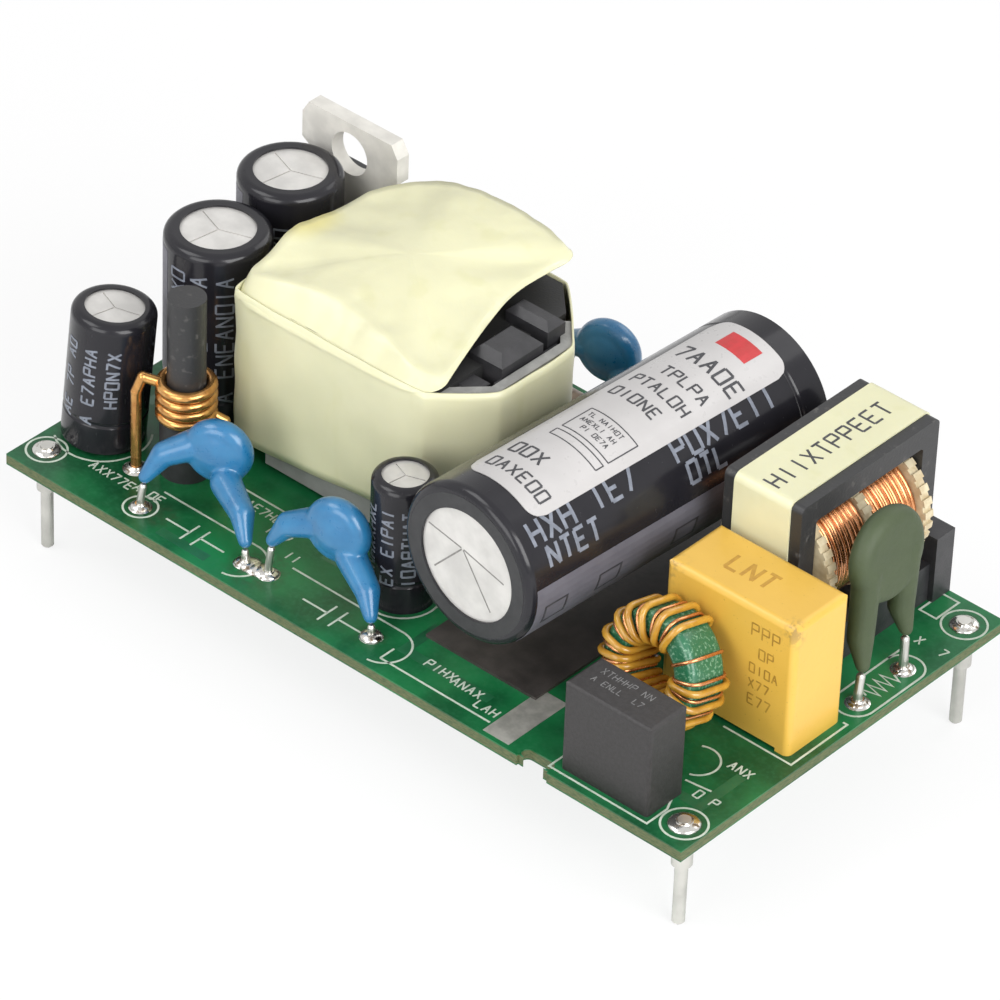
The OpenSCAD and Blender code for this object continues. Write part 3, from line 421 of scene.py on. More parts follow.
class Shape:
    """Collects prisms into one mesh."""

    def __init__(self):
        self.verts, self.faces = [], []

    def add(self, verts, faces):
        n = len(self.verts)
        self.verts += list(verts)
        self.faces += [tuple(i + n for i in f) for f in faces]

    def prism(self, outline, lower, upper):
        """A flat outline, counter-clockwise from above, given a thickness. lower and upper place a point."""
        n = len(outline)
        self.add([lower(p) for p in outline] + [upper(p) for p in outline],
                 [tuple(reversed(range(n))), tuple(range(n, 2 * n))]
                 + [(i, (i + 1) % n, n + (i + 1) % n, n + i) for i in range(n)])

    def slab(self, outline, surface, low, high):
        """A prism between two lifts above a surface. surface(lift) gives a function that places a point."""
        self.prism(outline, surface(low), surface(high))

    def piece(self, name, finish, slot, **more):
        return piece(name, self.verts, self.faces, finish, slot, **more)


def strokes(points, width, closed=False):
    """Quads along a line that share their mitred ends, so none overlap."""
    n = len(points)
    left, right = [], []
    for i, (x, y) in enumerate(points):
        before = points[i - 1] if i or closed else None
        after = points[(i + 1) % n] if i < n - 1 or closed else None
        ways = []
        for a, b in ((before, (x, y)), ((x, y), after)):
            if a and b:
                run = math.dist(a, b)
                ways.append(((b[0] - a[0]) / run, (b[1] - a[1]) / run))
        nx, ny = -sum(w[1] for w in ways), sum(w[0] for w in ways)
        size = math.hypot(nx, ny)
        nx, ny = nx / size, ny / size
        reach = width / 2 / max(0.45, abs(nx * -ways[0][1] + ny * ways[0][0]))
        left.append((x + nx * reach, y + ny * reach))
        right.append((x - nx * reach, y - ny * reach))
    for i in range(n if closed else n - 1):
        j = (i + 1) % n
        yield [right[i], right[j], left[j], left[i]]


def arc(cx, cy, r, a0=0, a1=360, step=10):
    n = max(2, int(abs(a1 - a0) / step))
    return [(cx + r * math.cos(rad(a0 + (a1 - a0) * i / n)), cy + r * math.sin(rad(a0 + (a1 - a0) * i / n)))
            for i in range(n + 1)]


def divided(a, b, n):
    """A straight run from a to b in n equal parts."""
    return [(a[0] + (b[0] - a[0]) * i / n, a[1] + (b[1] - a[1]) * i / n) for i in range(n + 1)]


# made-up signs, as strokes in a unit square
SIGNS = (((0, 0, 0, 1), (0, 1, 1, 1), (0, 0.5, 0.8, 0.5), (0, 0, 1, 0)),
         ((0, 0, 0, 1), (1, 0, 1, 1), (0, 0.5, 1, 0.5)),
         ((0, 0, 0, 1), (0, 1, 1, 0), (1, 0, 1, 1)),
         ((0, 0, 1, 0), (0, 1, 1, 1), (0, 0, 0, 1), (1, 0, 1, 1)),
         ((0, 1, 1, 1), (0.5, 0, 0.5, 1)),
         ((0, 0, 0, 1), (0, 0, 1, 0)),
         ((0, 0, 0.5, 1), (0.5, 1, 1, 0), (0.2, 0.4, 0.8, 0.4)),
         ((0, 0, 1, 1), (0, 1, 1, 0)),
         ((0, 1, 1, 1), (1, 1, 0.3, 0)),
         ((0.5, 0, 0.5, 1),),
         ((0, 0, 0, 1), (0, 1, 1, 1), (1, 1, 1, 0.5), (1, 0.5, 0, 0.5)))
SIGN_WIDTH, SIGN_PITCH, PART_OF_STROKE = 0.58, 0.88, 0.4
# which way a run of signs reads, and which way is up in it
RIGHTWARD, UPWARD = ((1, 0), (0, 1)), ((0, 1), (-1, 0))
LEFTWARD, DOWNWARD = ((-1, 0), (0, -1)), ((0, -1), (1, 0))


def lettering(shape, surface, lifts, start, way, tall, count, pen, stroke, gaps=0.12):
    """A run of made-up signs from start, in the flat plane that surface places."""
    ahead, upward = way
    x, y = start
    low, high = lifts
    wide = tall * SIGN_WIDTH
    for _ in range(count):
        if pen.random() > gaps:
            for k, sign in enumerate(pen.choice(SIGNS)):
                a, b = ((x + ahead[0] * u * wide + upward[0] * v * tall,
                         y + ahead[1] * u * wide + upward[1] * v * tall) for u, v in (sign[:2], sign[2:]))
                parts = max(1, math.ceil(math.dist(a, b) / PART_OF_STROKE))
                # each stroke lies a hair higher, so that crossing strokes share no face
                over = high + (high - low) * 0.12 * k
                for quad in strokes(divided(a, b, parts), stroke):
                    shape.slab(quad, surface, low, over)
        x += ahead[0] * tall * SIGN_PITCH
        y += ahead[1] * tall * SIGN_PITCH


def board_face(lift):
    return lambda p: spot(*p, lift)


def level_face(z):
    """A level face at height z."""
    return lambda lift: lambda p: Vector((p[0], p[1], z + lift)) * MM


def round_can(matrix, radius):
    """Places (degrees of arc as millimetres, height) on a cylinder, at a little above its surface."""
    def at(lift):
        def place(p):
            a, r = p[0] / radius, radius + lift
            return matrix @ (Vector((r * math.cos(a), r * math.sin(a), p[1])) * MM)
        return place
    return at


def on_board(shape, outline, low=0.004, high=0.022):
    shape.slab(outline, board_face, low, high)


def wrapped(shape, matrix, radius, a0, a1, z0, z1, wall=0.02, corner=0.0):
    """A patch bent round a cylinder, from angle a0 to a1 and from z0 to z1, in millimetres."""
    n = max(1, int(abs(a1 - a0) / (2 if corner else 6)) + 1)
    at = lambda a, z, r: matrix @ (Vector((r * math.cos(rad(a)), r * math.sin(rad(a)), z)) * MM)
    verts = []
    for i in range(n + 1):
        a = a0 + (a1 - a0) * i / n
        short = max(0.0, corner - min(abs(a - a0), abs(a - a1)) * math.pi / 180 * radius)
        cut = corner - math.sqrt(max(0.0, corner ** 2 - short ** 2)) if corner else 0.0
        b, c = z0 + cut, z1 - cut
        verts += [at(a, b, radius), at(a, c, radius), at(a, c, radius + wall), at(a, b, radius + wall)]
    faces = [(0, 1, 2, 3), tuple(4 * n + k for k in (3, 2, 1, 0))]
    for i in range(n):
        for k in range(4):
            faces.append((4 * i + k, 4 * i + 4 + k, 4 * i + 4 + (k + 1) % 4, 4 * i + (k + 1) % 4))
    shape.add(verts, faces)


# ---------------------------------------------------------------- repeated things

def evaluated(source):
    """The mesh that an object's modifiers give. The object and its modifiers are removed."""
    scene.collection.objects.link(source)
    bpy.context.view_layer.update()
    graph = bpy.context.evaluated_depsgraph_get()
    mesh = bpy.data.meshes.new_from_object(source.evaluated_get(graph))
    source.modifiers.clear()
    bpy.data.objects.remove(source)
    return mesh


class Tree:
    """A Geometry Nodes tree with named inputs."""

    def __init__(self, name, inputs):
        self.group = bpy.data.node_groups.new(name, "GeometryNodeTree")
        face = self.group.interface
        face.new_socket(name="Geometry", in_out="INPUT", socket_type="NodeSocketGeometry")
        self.ids = {key: face.new_socket(name=key, in_out="INPUT", socket_type=kind).identifier
                    for key, kind in inputs.items()}
        face.new_socket(name="Geometry", in_out="OUTPUT", socket_type="NodeSocketGeometry")
        self.given = self.group.nodes.new("NodeGroupInput")
        self.out = self.group.nodes.new("NodeGroupOutput")

    def node(self, kind, settings, inputs, out=0):
        return add_node(self.group, kind, settings, inputs, out)

    def end(self, geometry):
        whole = self.node("GeometryNodeRealizeInstances", {}, {0: geometry})
        smooth = self.node("GeometryNodeSetShadeSmooth", {}, {0: whole})
        finish = self.given.outputs["Finish"]
        done = self.node("GeometryNodeSetMaterial", {}, {"Geometry": smooth, "Material": finish})
        self.group.links.new(done, self.out.inputs[0])

    def make(self, name, base_mesh, finish, values, matrix=None):
        """Runs the tree on a mesh and returns the result as a plain mesh object."""
        source = bpy.data.objects.new(name + "_source", base_mesh)
        modifier = source.modifiers.new("tree", "NODES")
        modifier.node_group = self.group
        for key, value in {**values, "Finish": FINISHES[finish].material}.items():
            modifier[self.ids[key]] = value
        mesh = evaluated(source)
        if matrix is not None:
            mesh.transform(matrix)
        dress(mesh, finish)
        return bpy.data.objects.new(name, mesh)


def turns_tree():
    """Closed turns of wire, each moved and turned on from the one before it."""
    t = Tree("turns", {"Turns": "NodeSocketInt", "Wire": "NodeSocketFloat", "Start": "NodeSocketFloat",
                       "Step": "NodeSocketFloat", "Advance": "NodeSocketVector",
                       "Unevenness": "NodeSocketFloat", "Finish": "NodeSocketMaterial"})
    g = t.given.outputs
    path = t.node("GeometryNodeMeshToCurve", {}, {0: g["Geometry"]})
    section = t.node("GeometryNodeCurvePrimitiveCircle", {}, {"Resolution": 10, "Radius": g["Wire"]})
    turn = t.node("GeometryNodeCurveToMesh", {}, {"Curve": path, "Profile Curve": section})
    line = t.node("GeometryNodeMeshLine", {}, {"Count": g["Turns"], "Offset": g["Advance"]})
    index = t.node("GeometryNodeInputIndex", {}, {})
    along = t.node("ShaderNodeMath", {"operation": "MULTIPLY_ADD"}, {0: index, 1: g["Step"], 2: g["Start"]})
    even = t.node("ShaderNodeMath", {"operation": "MULTIPLY"}, {0: g["Unevenness"], 1: -1.0})
    wander = [t.node("FunctionNodeRandomValue", {"data_type": "FLOAT"},
                     {2: even, 3: g["Unevenness"], "ID": index, "Seed": seed}, 1) for seed in (3, 7, 11)]
    spin = t.node("ShaderNodeMath", {"operation": "ADD"}, {0: along, 1: wander[2]})
    rotation = t.node("ShaderNodeCombineXYZ", {}, {0: wander[0], 1: wander[1], 2: spin})
    t.end(t.node("GeometryNodeInstanceOnPoints", {},
                 {"Points": line, "Instance": turn, "Rotation": rotation}))
    return t


def solder_tree():
    """Uneven solder cones, one on each point of the base mesh."""
    t = Tree("solder", {"Foot": "NodeSocketFloat", "Height": "NodeSocketFloat",
                        "Unevenness": "NodeSocketFloat", "Finish": "NodeSocketMaterial"})
    g = t.given.outputs
    cone = t.node("GeometryNodeMeshUVSphere", {}, {"Segments": 20, "Rings": 10, "Radius": 1.0})
    size = t.node("ShaderNodeCombineXYZ", {}, {0: g["Foot"], 1: g["Foot"], 2: g["Height"]})
    lump = t.node("GeometryNodeTransform", {}, {"Geometry": cone, "Scale": size})
    less = t.node("ShaderNodeMath", {"operation": "SUBTRACT"}, {0: 1.0, 1: g["Unevenness"]})
    more = t.node("ShaderNodeMath", {"operation": "ADD"}, {0: 1.0, 1: g["Unevenness"]})
    scale = t.node("FunctionNodeRandomValue", {"data_type": "FLOAT"}, {2: less, 3: more, "Seed": 5}, 1)
    turn = t.node("FunctionNodeRandomValue", {"data_type": "FLOAT"}, {2: 0.0, 3: 6.28, "Seed": 9}, 1)
    rotation = t.node("ShaderNodeCombineXYZ", {}, {2: turn})
    t.end(t.node("GeometryNodeInstanceOnPoints", {}, {"Points": g["Geometry"], "Instance": lump,
                                                      "Rotation": rotation, "Scale": scale}))
    return t


def loop_mesh(points):
    mesh = bpy.data.meshes.new("path")
    n = len(points)
    mesh.from_pydata([tuple(c * MM for c in p) for p in points], [(i, (i + 1) % n) for i in range(n)], [])
    return mesh


TURNS = turns_tree()
SOLDER = solder_tree()

RING_OUTER, RING_INNER, RING_HALF = 4.5, 2.4, 1.8
RING_TURNS, RING_WOUND, RING_FIRST, RING_CROSSING = 16, 298, 68, 36  # a count and three angles
THICK_WIRE, THIN_WIRE, CROSSING_WIRE = 0.28, 0.15, 0.14


def ring_turn(wire):
    """The centre line of one turn round the ring's section, with rounded corners."""
    gap, bend = wire + 0.02, 0.95
    middle, reach, rise = (RING_OUTER + RING_INNER) / 2, (RING_OUTER - RING_INNER) / 2 + gap, RING_HALF + gap
    return loop_mesh([(middle + qx * (reach - bend) + bend * math.cos(rad(a + t)), 0,
                       qz * (rise - bend) + bend * math.sin(rad(a + t)))
                      for qx, qz, a in ((1, 1, 0), (-1, 1, 90), (-1, -1, 180), (1, -1, 270))
                      for t in (0, 22, 45, 68, 90)])


def toroid_windings():
    ring_at = (Matrix.Translation(spot(LENGTH - 10.5, 9.9, 5.5)) @ Matrix.Rotation(rad(-5), 4, "Z")
               @ Matrix.Rotation(rad(76), 4, "X"))
    pitch = RING_WOUND / (RING_TURNS - 1)
    # the last one is a copper turn that crosses the bare stretch
    for name, finish, node, count, path, wire, start, uneven in (
            ("toroid_thick_turns", "insulated_wire", ("toroid_thick_winding",), RING_TURNS,
             ring_turn(THICK_WIRE), THICK_WIRE, RING_FIRST, 2.2),
            ("toroid_thin_turns", "enamelled_wire", ("toroid_thin_winding",), RING_TURNS,
             ring_turn(THIN_WIRE), THIN_WIRE, RING_FIRST + 0.425 * pitch, 2.2),
            ("toroid_crossing_turn", "enamelled_wire", (), 1,
             ring_turn(THIN_WIRE), CROSSING_WIRE, RING_CROSSING, 2.0)):
        settle(TURNS.make(name, path, finish, {
            "Turns": count, "Wire": wire * MM, "Start": rad(start), "Step": rad(pitch), "Advance": (0, 0, 0),
            "Unevenness": rad(uneven)}, ring_at), finish, node)


def choke_turns():
    low, high = box_of("choke_windings")
    centre = (low + high) / 2
    inner_wall, count = 0.49, 13
    wire = ((high.y - low.y) / 2 - inner_wall) / count / 2
    radius = (high.z - low.z) / 2 - wire * 1.4
    circle = [(radius * math.cos(rad(a)), 0, radius * math.sin(rad(a))) for a in range(0, 360, 9)]
    for name, side in (("choke_turns_front", -1), ("choke_turns_rear", 1)):
        start = Matrix.Translation(Vector((centre.x, centre.y + side * (inner_wall + wire), centre.z)) * MM)
        settle(TURNS.make(name, loop_mesh(circle), "enamelled_wire", {
            "Turns": count, "Wire": wire * MM * 1.02, "Start": 0.0, "Step": 0.0,
            "Advance": (0, side * 2 * wire * MM, 0), "Unevenness": rad(0.5)}, start), "enamelled_wire")


def solder_lumps():
    pads = [(1.85, 2.5), (65.85, 2.5), (65.85, 34.5), (1.85, 34.5)]
    small = [(12.0, 2.3), (35.2, 2.8), (66.0, 21.8), (65.9, 27.2), (25.4, WIDTH - 1.8), (33.4, WIDTH - 1.6),
             (8.35, 5.57)]
    shared = [(22.4, 2.8), (22.9, 2.85), (23.5, 2.75), (24.1, 2.95), (24.6, 3.0)]
    for name, points, foot, height in (("pin_solder", pads, 1.15, 0.34), ("lead_solder", small, 0.82, 0.4),
                                       ("shared_solder", shared, 0.85, 0.36)):
        base = bpy.data.meshes.new(name)
        base.from_pydata([tuple(spot(x, y, 0.0)) for x, y in points], [], [])
        sizes = {"Foot": foot * MM, "Height": height * MM, "Unevenness": 0.1}
        settle(SOLDER.make(name, base, "solder", sizes), "solder")


# ---------------------------------------------------------------- board print

def silkscreen():
    printed = Shape()

    def line(points, closed=False):
        for quad in strokes(points, 0.17, closed):
            on_board(printed, quad)

    # round the pads and standing cans
    for x, y, r in ((65.85, 2.5, 1.75), (65.85, 34.5, 1.75), (1.85, 2.5, 1.6), (12.0, 2.3, 1.35)):
        line(arc(x, y, r)[:-1], closed=True)
    line(arc(3.4, 7.1, 3.75, -130, 40))
    line(arc(33.35, 8.2, 3.0, -140, 30))
    # outline and plate symbol of each front disc capacitor
    for x0, x1, y in ((12.0, 22.0, 4.9), (25.4, 36.8, 4.8)):
        line([(x0, y), (x1, y)])
        line(arc(x1 - 0.2, y - 2.1, 2.1, 85, -85))
        mid = (x0 + x1) / 2 + 0.4
        for side in (-1, 1):
            line([(mid + side * 0.55, 1.5), (mid + side * 0.55, 3.7)])
            line([(mid + side * 0.55, 2.6), (mid + side * 3.0, 2.6)])
    # fuse, film capacitor, thermistor and choke outlines
    line([(54.6, 5.8), (54.6, 0.65), (63.9, 0.65), (63.9, 2.9), (63.2, 4.4)])
    line([(60.7, 12.9), (LENGTH - 0.6, 12.9), (LENGTH - 0.6, 19.3), (66.7, 19.3)])
    line([(64.9, 6.6), (62.7, 6.3)])
    line(arc(61.9, 8.6, 1.7, -70, 120))
    line([(64.3, 28.9), (64.3, 19.9)])
    line(arc(65.9, 27.3, 1.6, 0, 175))
    line([(67.5, 27.3), (67.5, 21.7)])
    line(arc(65.9, 21.7, 1.6, 0, -175))
    zigzag = [(65.9 + (0.75 if i % 2 else -0.75), 23.2 + 0.38 * i) for i in range(8)]
    line([(65.9, 22.9)] + zigzag + [(65.9, 26.2)])
    line([(62.3, 33.6), (62.3, 36.3), (63.9, 36.3), (63.9, 33.6)], closed=True)
    # outline of the lying capacitor's room and of the transformer
    line([(37.4, 1.4), (48.2, 1.4)])
    line([(37.4, 1.4), (37.4, 2.9)])
    line([(13.4, 9.4), (22.8, 9.4)])
    # short generic marks beside the parts
    marks = ((5.6, 3.6, 6), (9.2, 3.9, 5), (17.4, 8.3, 5), (20.2, 7.0, 4), (63.9, 9.9, 3), (64.2, 5.7, 3),
             (40.2, 3.4, 4), (43.0, 3.2, 4), (46.0, 2.4, 3), (64.4, 30.7, 4), (23.9, 5.7, 2))
    pen = random.Random(21)
    for x, y, count in marks:
        lettering(printed, board_face, (0.004, 0.022), (x, y - 0.4), RIGHTWARD, 0.85, count, pen, 0.13)
    printed.piece("board_print", "silkscreen", "solder_mask")

    copper = Shape()
    runs = [[(15, 1.2), (20, 1.2)], [(38, 7.2), (38, 3.4), (46.5, 3.4)], [(26, 7.6), (31, 7.6)],
            [(56.4, 13.5), (56.4, 10.5)], [(62.3, 4.8), (65.4, 4.8), (65.4, 9.4)],
            [(3.2, 12.2), (3.2, 20.2)], [(10.6, 15.0), (10.6, 25.0)]]
    for run in runs:
        for quad in strokes(run, 0.9):
            on_board(copper, quad, 0.002, 0.012)
    copper.piece("covered_traces", "covered_copper", "solder_mask")

    bare = Shape()
    on_board(bare, [(48.4, 0.4), (50.9, 0.4), (50.9, 6.9), (48.4, 6.9)], 0.002, 0.03)
    on_board(bare, [(38.6, 6.1), (39.5, 6.1), (39.5, 7.2), (38.6, 7.2)], 0.002, 0.03)
    bare.piece("bare_strip", "tinned_copper", "solder_mask")


# ---------------------------------------------------------------- cans and their print

BULK_RADIUS, BULK_LENGTH, BULK_LIFT, BULK_SKEW = 6.55, 31.6, 4.1, 3.1


def bulk_matrix():
    """From the lying can's own axis to the part. Its vented end is at the full length."""
    return (Matrix.Translation(spot(LENGTH - 24.2, 3.6, BULK_LIFT + BULK_RADIUS))
            @ Matrix.Rotation(rad(-BULK_SKEW), 4, "Z") @ Matrix.Rotation(rad(90), 4, "X")
            @ Matrix.Translation(Vector((0, 0, -BULK_LENGTH * MM))))


# the standing cans: place, diameter, height, and how far and which way each leans
CANS = [((3.4, 7.1), 6.6, 11.6, (4.5, 56)), ((6.5, 16.4), 8.4, 16.0, (0, 0)),
        ((6.0, 24.9), 8.3, 17.0, (0, 0)), ((33.35, 8.2), 5.1, 11.2, (0, 0))]


def can_matrix(i):
    (x, y), d, _, (lean, side) = CANS[i]
    lift = d / 2 * math.sin(rad(lean))
    return (Matrix.Translation(spot(x, y, lift)) @ Matrix.Rotation(rad(side), 4, "Z")
            @ Matrix.Rotation(rad(lean), 4, "Y") @ Matrix.Rotation(rad(-side), 4, "Z"))


LABEL_FROM, LABEL_TO = 50, 116  # degrees round the lying can


def bulk_print():
    m, r = bulk_matrix(), BULK_RADIUS
    arc_of = lambda degrees: rad(degrees) * r
    stripe, marks, letters, label, ink, red = (Shape() for _ in range(6))
    wrapped(stripe, m, r + 0.005, -46, 8, 0.8, 30.9, 0.015)
    stripe.piece("bulk_stripe", "sleeve_stripe", "sleeve")
    for z in (6.0, 14.0, 22.0, 27.6):
        for a0, a1, z0, z1 in ((-24, -8, z, z + 0.2), (-24, -8, z + 2.2, z + 2.4), (-24, -22.5, z, z + 2.4),
                               (-9.5, -8, z, z + 2.4)):
            wrapped(marks, m, r + 0.025, a0, a1, z0, z1, 0.012)
    marks.piece("stripe_marks", "dark_ink", "sleeve")

    pen = random.Random(4)
    skin = round_can(m, r)
    for a, tall, start, count in ((36, 1.8, 30.0, 7), (19, 1.6, 29.2, 4), (19, 1.6, 14.6, 4),
                                  (36, 1.8, 15.2, 7)):
        lettering(letters, skin, (0.012, 0.03), (arc_of(a), start), DOWNWARD, tall, count, pen, 0.3)
    letters.piece("bulk_letters", "pale_print", "sleeve")

    wrapped(label, m, r + 0.01, LABEL_FROM, LABEL_TO, 2.2, 29.2, 0.07, 1.3)
    label.piece("bulk_paper", "label", "label", replaces=("bulk_label",))
    paper = round_can(m, r + 0.08)
    first = arc_of(LABEL_TO - 7)
    for z, tall, count in ((8.3, 1.5, 5), (10.9, 1.1, 6), (13.0, 1.1, 6), (15.2, 1.1, 6), (18.6, 0.45, 9),
                           (19.4, 0.45, 9), (20.2, 0.45, 9), (25.6, 1.3, 4), (27.9, 1.15, 6)):
        indent = 0 if tall > 1 else 1.2
        lettering(ink, paper, (0.004, 0.02), (first - indent, z), LEFTWARD, tall, count, pen, tall * 0.15)
    for z0, z1 in ((17.7, 20.8), (21.3, 22.1)):
        u0, u1 = first - 5.7, first - 0.8
        box = [(u0, z0), (u1, z0), (u1, z1), (u0, z1)]
        for i in range(4):
            for quad in strokes(divided(box[i], box[(i + 1) % 4], 8), 0.1):
                ink.slab(quad, paper, 0.004, 0.02)
    wrapped(red, m, r + 0.084, LABEL_FROM + 20, LABEL_FROM + 46, 3.2, 5.2, 0.016)
    ink.piece("label_print", "dark_ink", "label")
    red.piece("label_block", "red_ink", "label")


def bulk_end():
    """The vented end: a dark rolled rim and four pressed lines."""
    m = bulk_matrix()
    face = lambda lift: lambda p: m @ (Vector((p[0], p[1], BULK_LENGTH + lift)) * MM)
    lid_low, lid_high = -0.25, -0.17
    rim, lid, score = Shape(), Shape(), Shape()
    on_circle = lambda r, a: (math.cos(rad(a)) * r, math.sin(rad(a)) * r)
    for a in range(0, 360, 6):
        quad = [on_circle(4.65, a), on_circle(5.8, a), on_circle(5.8, a + 6), on_circle(4.65, a + 6)]
        rim.slab(quad, face, 0, 0.015)
    rim.piece("bulk_end_ring", "end_ring", "sleeve")
    lid.slab([on_circle(4.6, 7.5 * i) for i in range(48)], face, lid_low, lid_high)
    lid.piece("bulk_vent", "can_aluminium", "can_aluminium")
    for a, reach in ((172, 3.4), (-12, 4.2), (228, 4.0), (306, 5.0)):
        (near_x, near_y), (far_x, far_y) = on_circle(0.12, a), on_circle(0.12 + reach, a)
        for quad in strokes([(near_x - 0.6, near_y + 1.1), (far_x - 0.6, far_y + 1.1)], 0.13):
            score.slab(quad, face, lid_high, lid_high + 0.012)
    score.piece("bulk_score", "score_line", "can_aluminium")


def can_print():
    stripe, letters = Shape(), Shape()
    pen = random.Random(8)
    for i, (a0, a1) in enumerate(((150, 190), (-140, -112), (-132, -108), (-15, 20))):
        _, d, h, _ = CANS[i]
        wrapped(stripe, can_matrix(i), d / 2 + 0.004, a0, a1, 3.4, h - 1.0, 0.012)
    for i, columns in enumerate(((-100, -66, -34), (-84, -58, -30), (-74, -46), (-104, -66, -28))):
        _, d, h, _ = CANS[i]
        skin = round_can(can_matrix(i), d / 2)
        tall = 1.0 if d < 7 else 1.35
        count = int((h - 4) / (0.88 if d < 7 else 1.19))
        for a in columns:
            lettering(letters, skin, (0.004, 0.02), (rad(a) * d / 2, 2.6), UPWARD, tall, count, pen, 0.17)
    stripe.piece("can_stripes", "sleeve_stripe", "sleeve")
    letters.piece("can_letters", "pale_print", "sleeve")


# ---------------------------------------------------------------- print on boxed parts

def boxed_print():
    fuse_marks, film_marks, pressed, choke_marks = (Shape() for _ in range(4))
    pen = random.Random(45)
    low, high = box_of("fuse_body")
    for y, tall, count in ((high.y - 1.5, 0.62, 9), (high.y - 2.6, 0.55, 10)):
        start = (low.x + 1.2, y)
        lettering(fuse_marks, level_face(high.z), (0.003, 0.014), start, RIGHTWARD, tall, count, pen, 0.07)
    fuse_marks.piece("fuse_print", "fuse_ink", "fuse_case")

    low, high = box_of("film_capacitor")
    front = lambda lift: lambda p: Vector((p[0], low.y - lift, p[1])) * MM
    for z, tall, count in ((9.2, 1.1, 3), (7.4, 0.9, 3), (5.9, 0.8, 4), (4.5, 0.8, 3), (3.0, 0.9, 3)):
        start = (low.x + 8.2, low.z + z)
        lettering(film_marks, front, (0.003, 0.014), start, RIGHTWARD, tall, count, pen, 0.12)
    film_marks.piece("film_print", "faint_ink", "film_case")
    lettering(pressed, level_face(high.z), (0.003, 0.016), (low.x + 3.6, low.y + 2.2), RIGHTWARD, 1.7, 3,
              pen, 0.3, gaps=0)
    pressed.piece("film_mark", "pressed_mark", "film_case")

    low, high = box_of("choke_tape")
    start = ((low.x + high.x) / 2 + 0.85, low.y + 0.9)
    lettering(choke_marks, level_face(high.z), (0.003, 0.014), start, UPWARD, 1.55,
              int((high.y - low.y - 1.5) / 1.37), pen, 0.2, gaps=0)
    choke_marks.piece("choke_print", "dark_ink", "polyester_tape")


# ---------------------------------------------------------------- transformer tape

FORM_X, FORM_Y = 23.5, 21.2  # the middle of the wound form


def rounded(points, rounds):
    """Cuts the corners of a closed run of points, whatever each point carries."""
    for _ in range(rounds):
        cut = []
        for i, a in enumerate(points):
            b = points[(i + 1) % len(points)]
            cut.append(tuple(0.75 * u + 0.25 * v for u, v in zip(a, b)))
            cut.append(tuple(0.25 * u + 0.75 * v for u, v in zip(a, b)))
        points = cut
    return points


def ripple(x, y, z, size, height):
    """Smooth unevenness whose waves are about size across."""
    return noise.noise(Vector((x, y, z)) / size) * height


def shell(name, rows, closed_top, wall, replaces):
    """Rings of points, outermost first, made a tape skin with a wall towards the inside of the form."""
    n = len(rows[0])
    outside, inside = [], []
    for row in rows:
        for p in row:
            v = Vector(p)
            outside.append(v)
            inward = Vector((FORM_X - v.x, FORM_Y - v.y, 0)).normalized() * 0.75
            inward.z = -0.65 if closed_top else 0.0
            inside.append(v + inward.normalized() * wall)
    count = len(outside)
    faces = []
    for k in range(len(rows) - 1):
        for i in range(n):
            j = (i + 1) % n
            faces.append((k * n + i, k * n + j, (k + 1) * n + j, (k + 1) * n + i))
            faces.append(tuple(count + m for m in (k * n + j, k * n + i, (k + 1) * n + i, (k + 1) * n + j)))
    last = (len(rows) - 1) * n
    for i in range(n):
        j = (i + 1) % n
        faces.append((i, count + i, count + j, j))
        if not closed_top:
            faces.append((last + j, count + last + j, count + last + i, last + i))
    verts = outside + inside
    if closed_top:
        peak, under = len(verts), len(verts) + 1
        verts += [Vector(closed_top), Vector(closed_top) - Vector((0, 0, wall))]
        for i in range(n):
            j = (i + 1) % n
            faces.append((last + i, last + j, peak))
            faces.append((count + last + j, count + last + i, under))
    piece(name, [spot(*v) for v in verts], faces, "polyester_tape", "polyester_tape", True, replaces)


def smooth_step(t):
    return t * t * (3 - 2 * t)


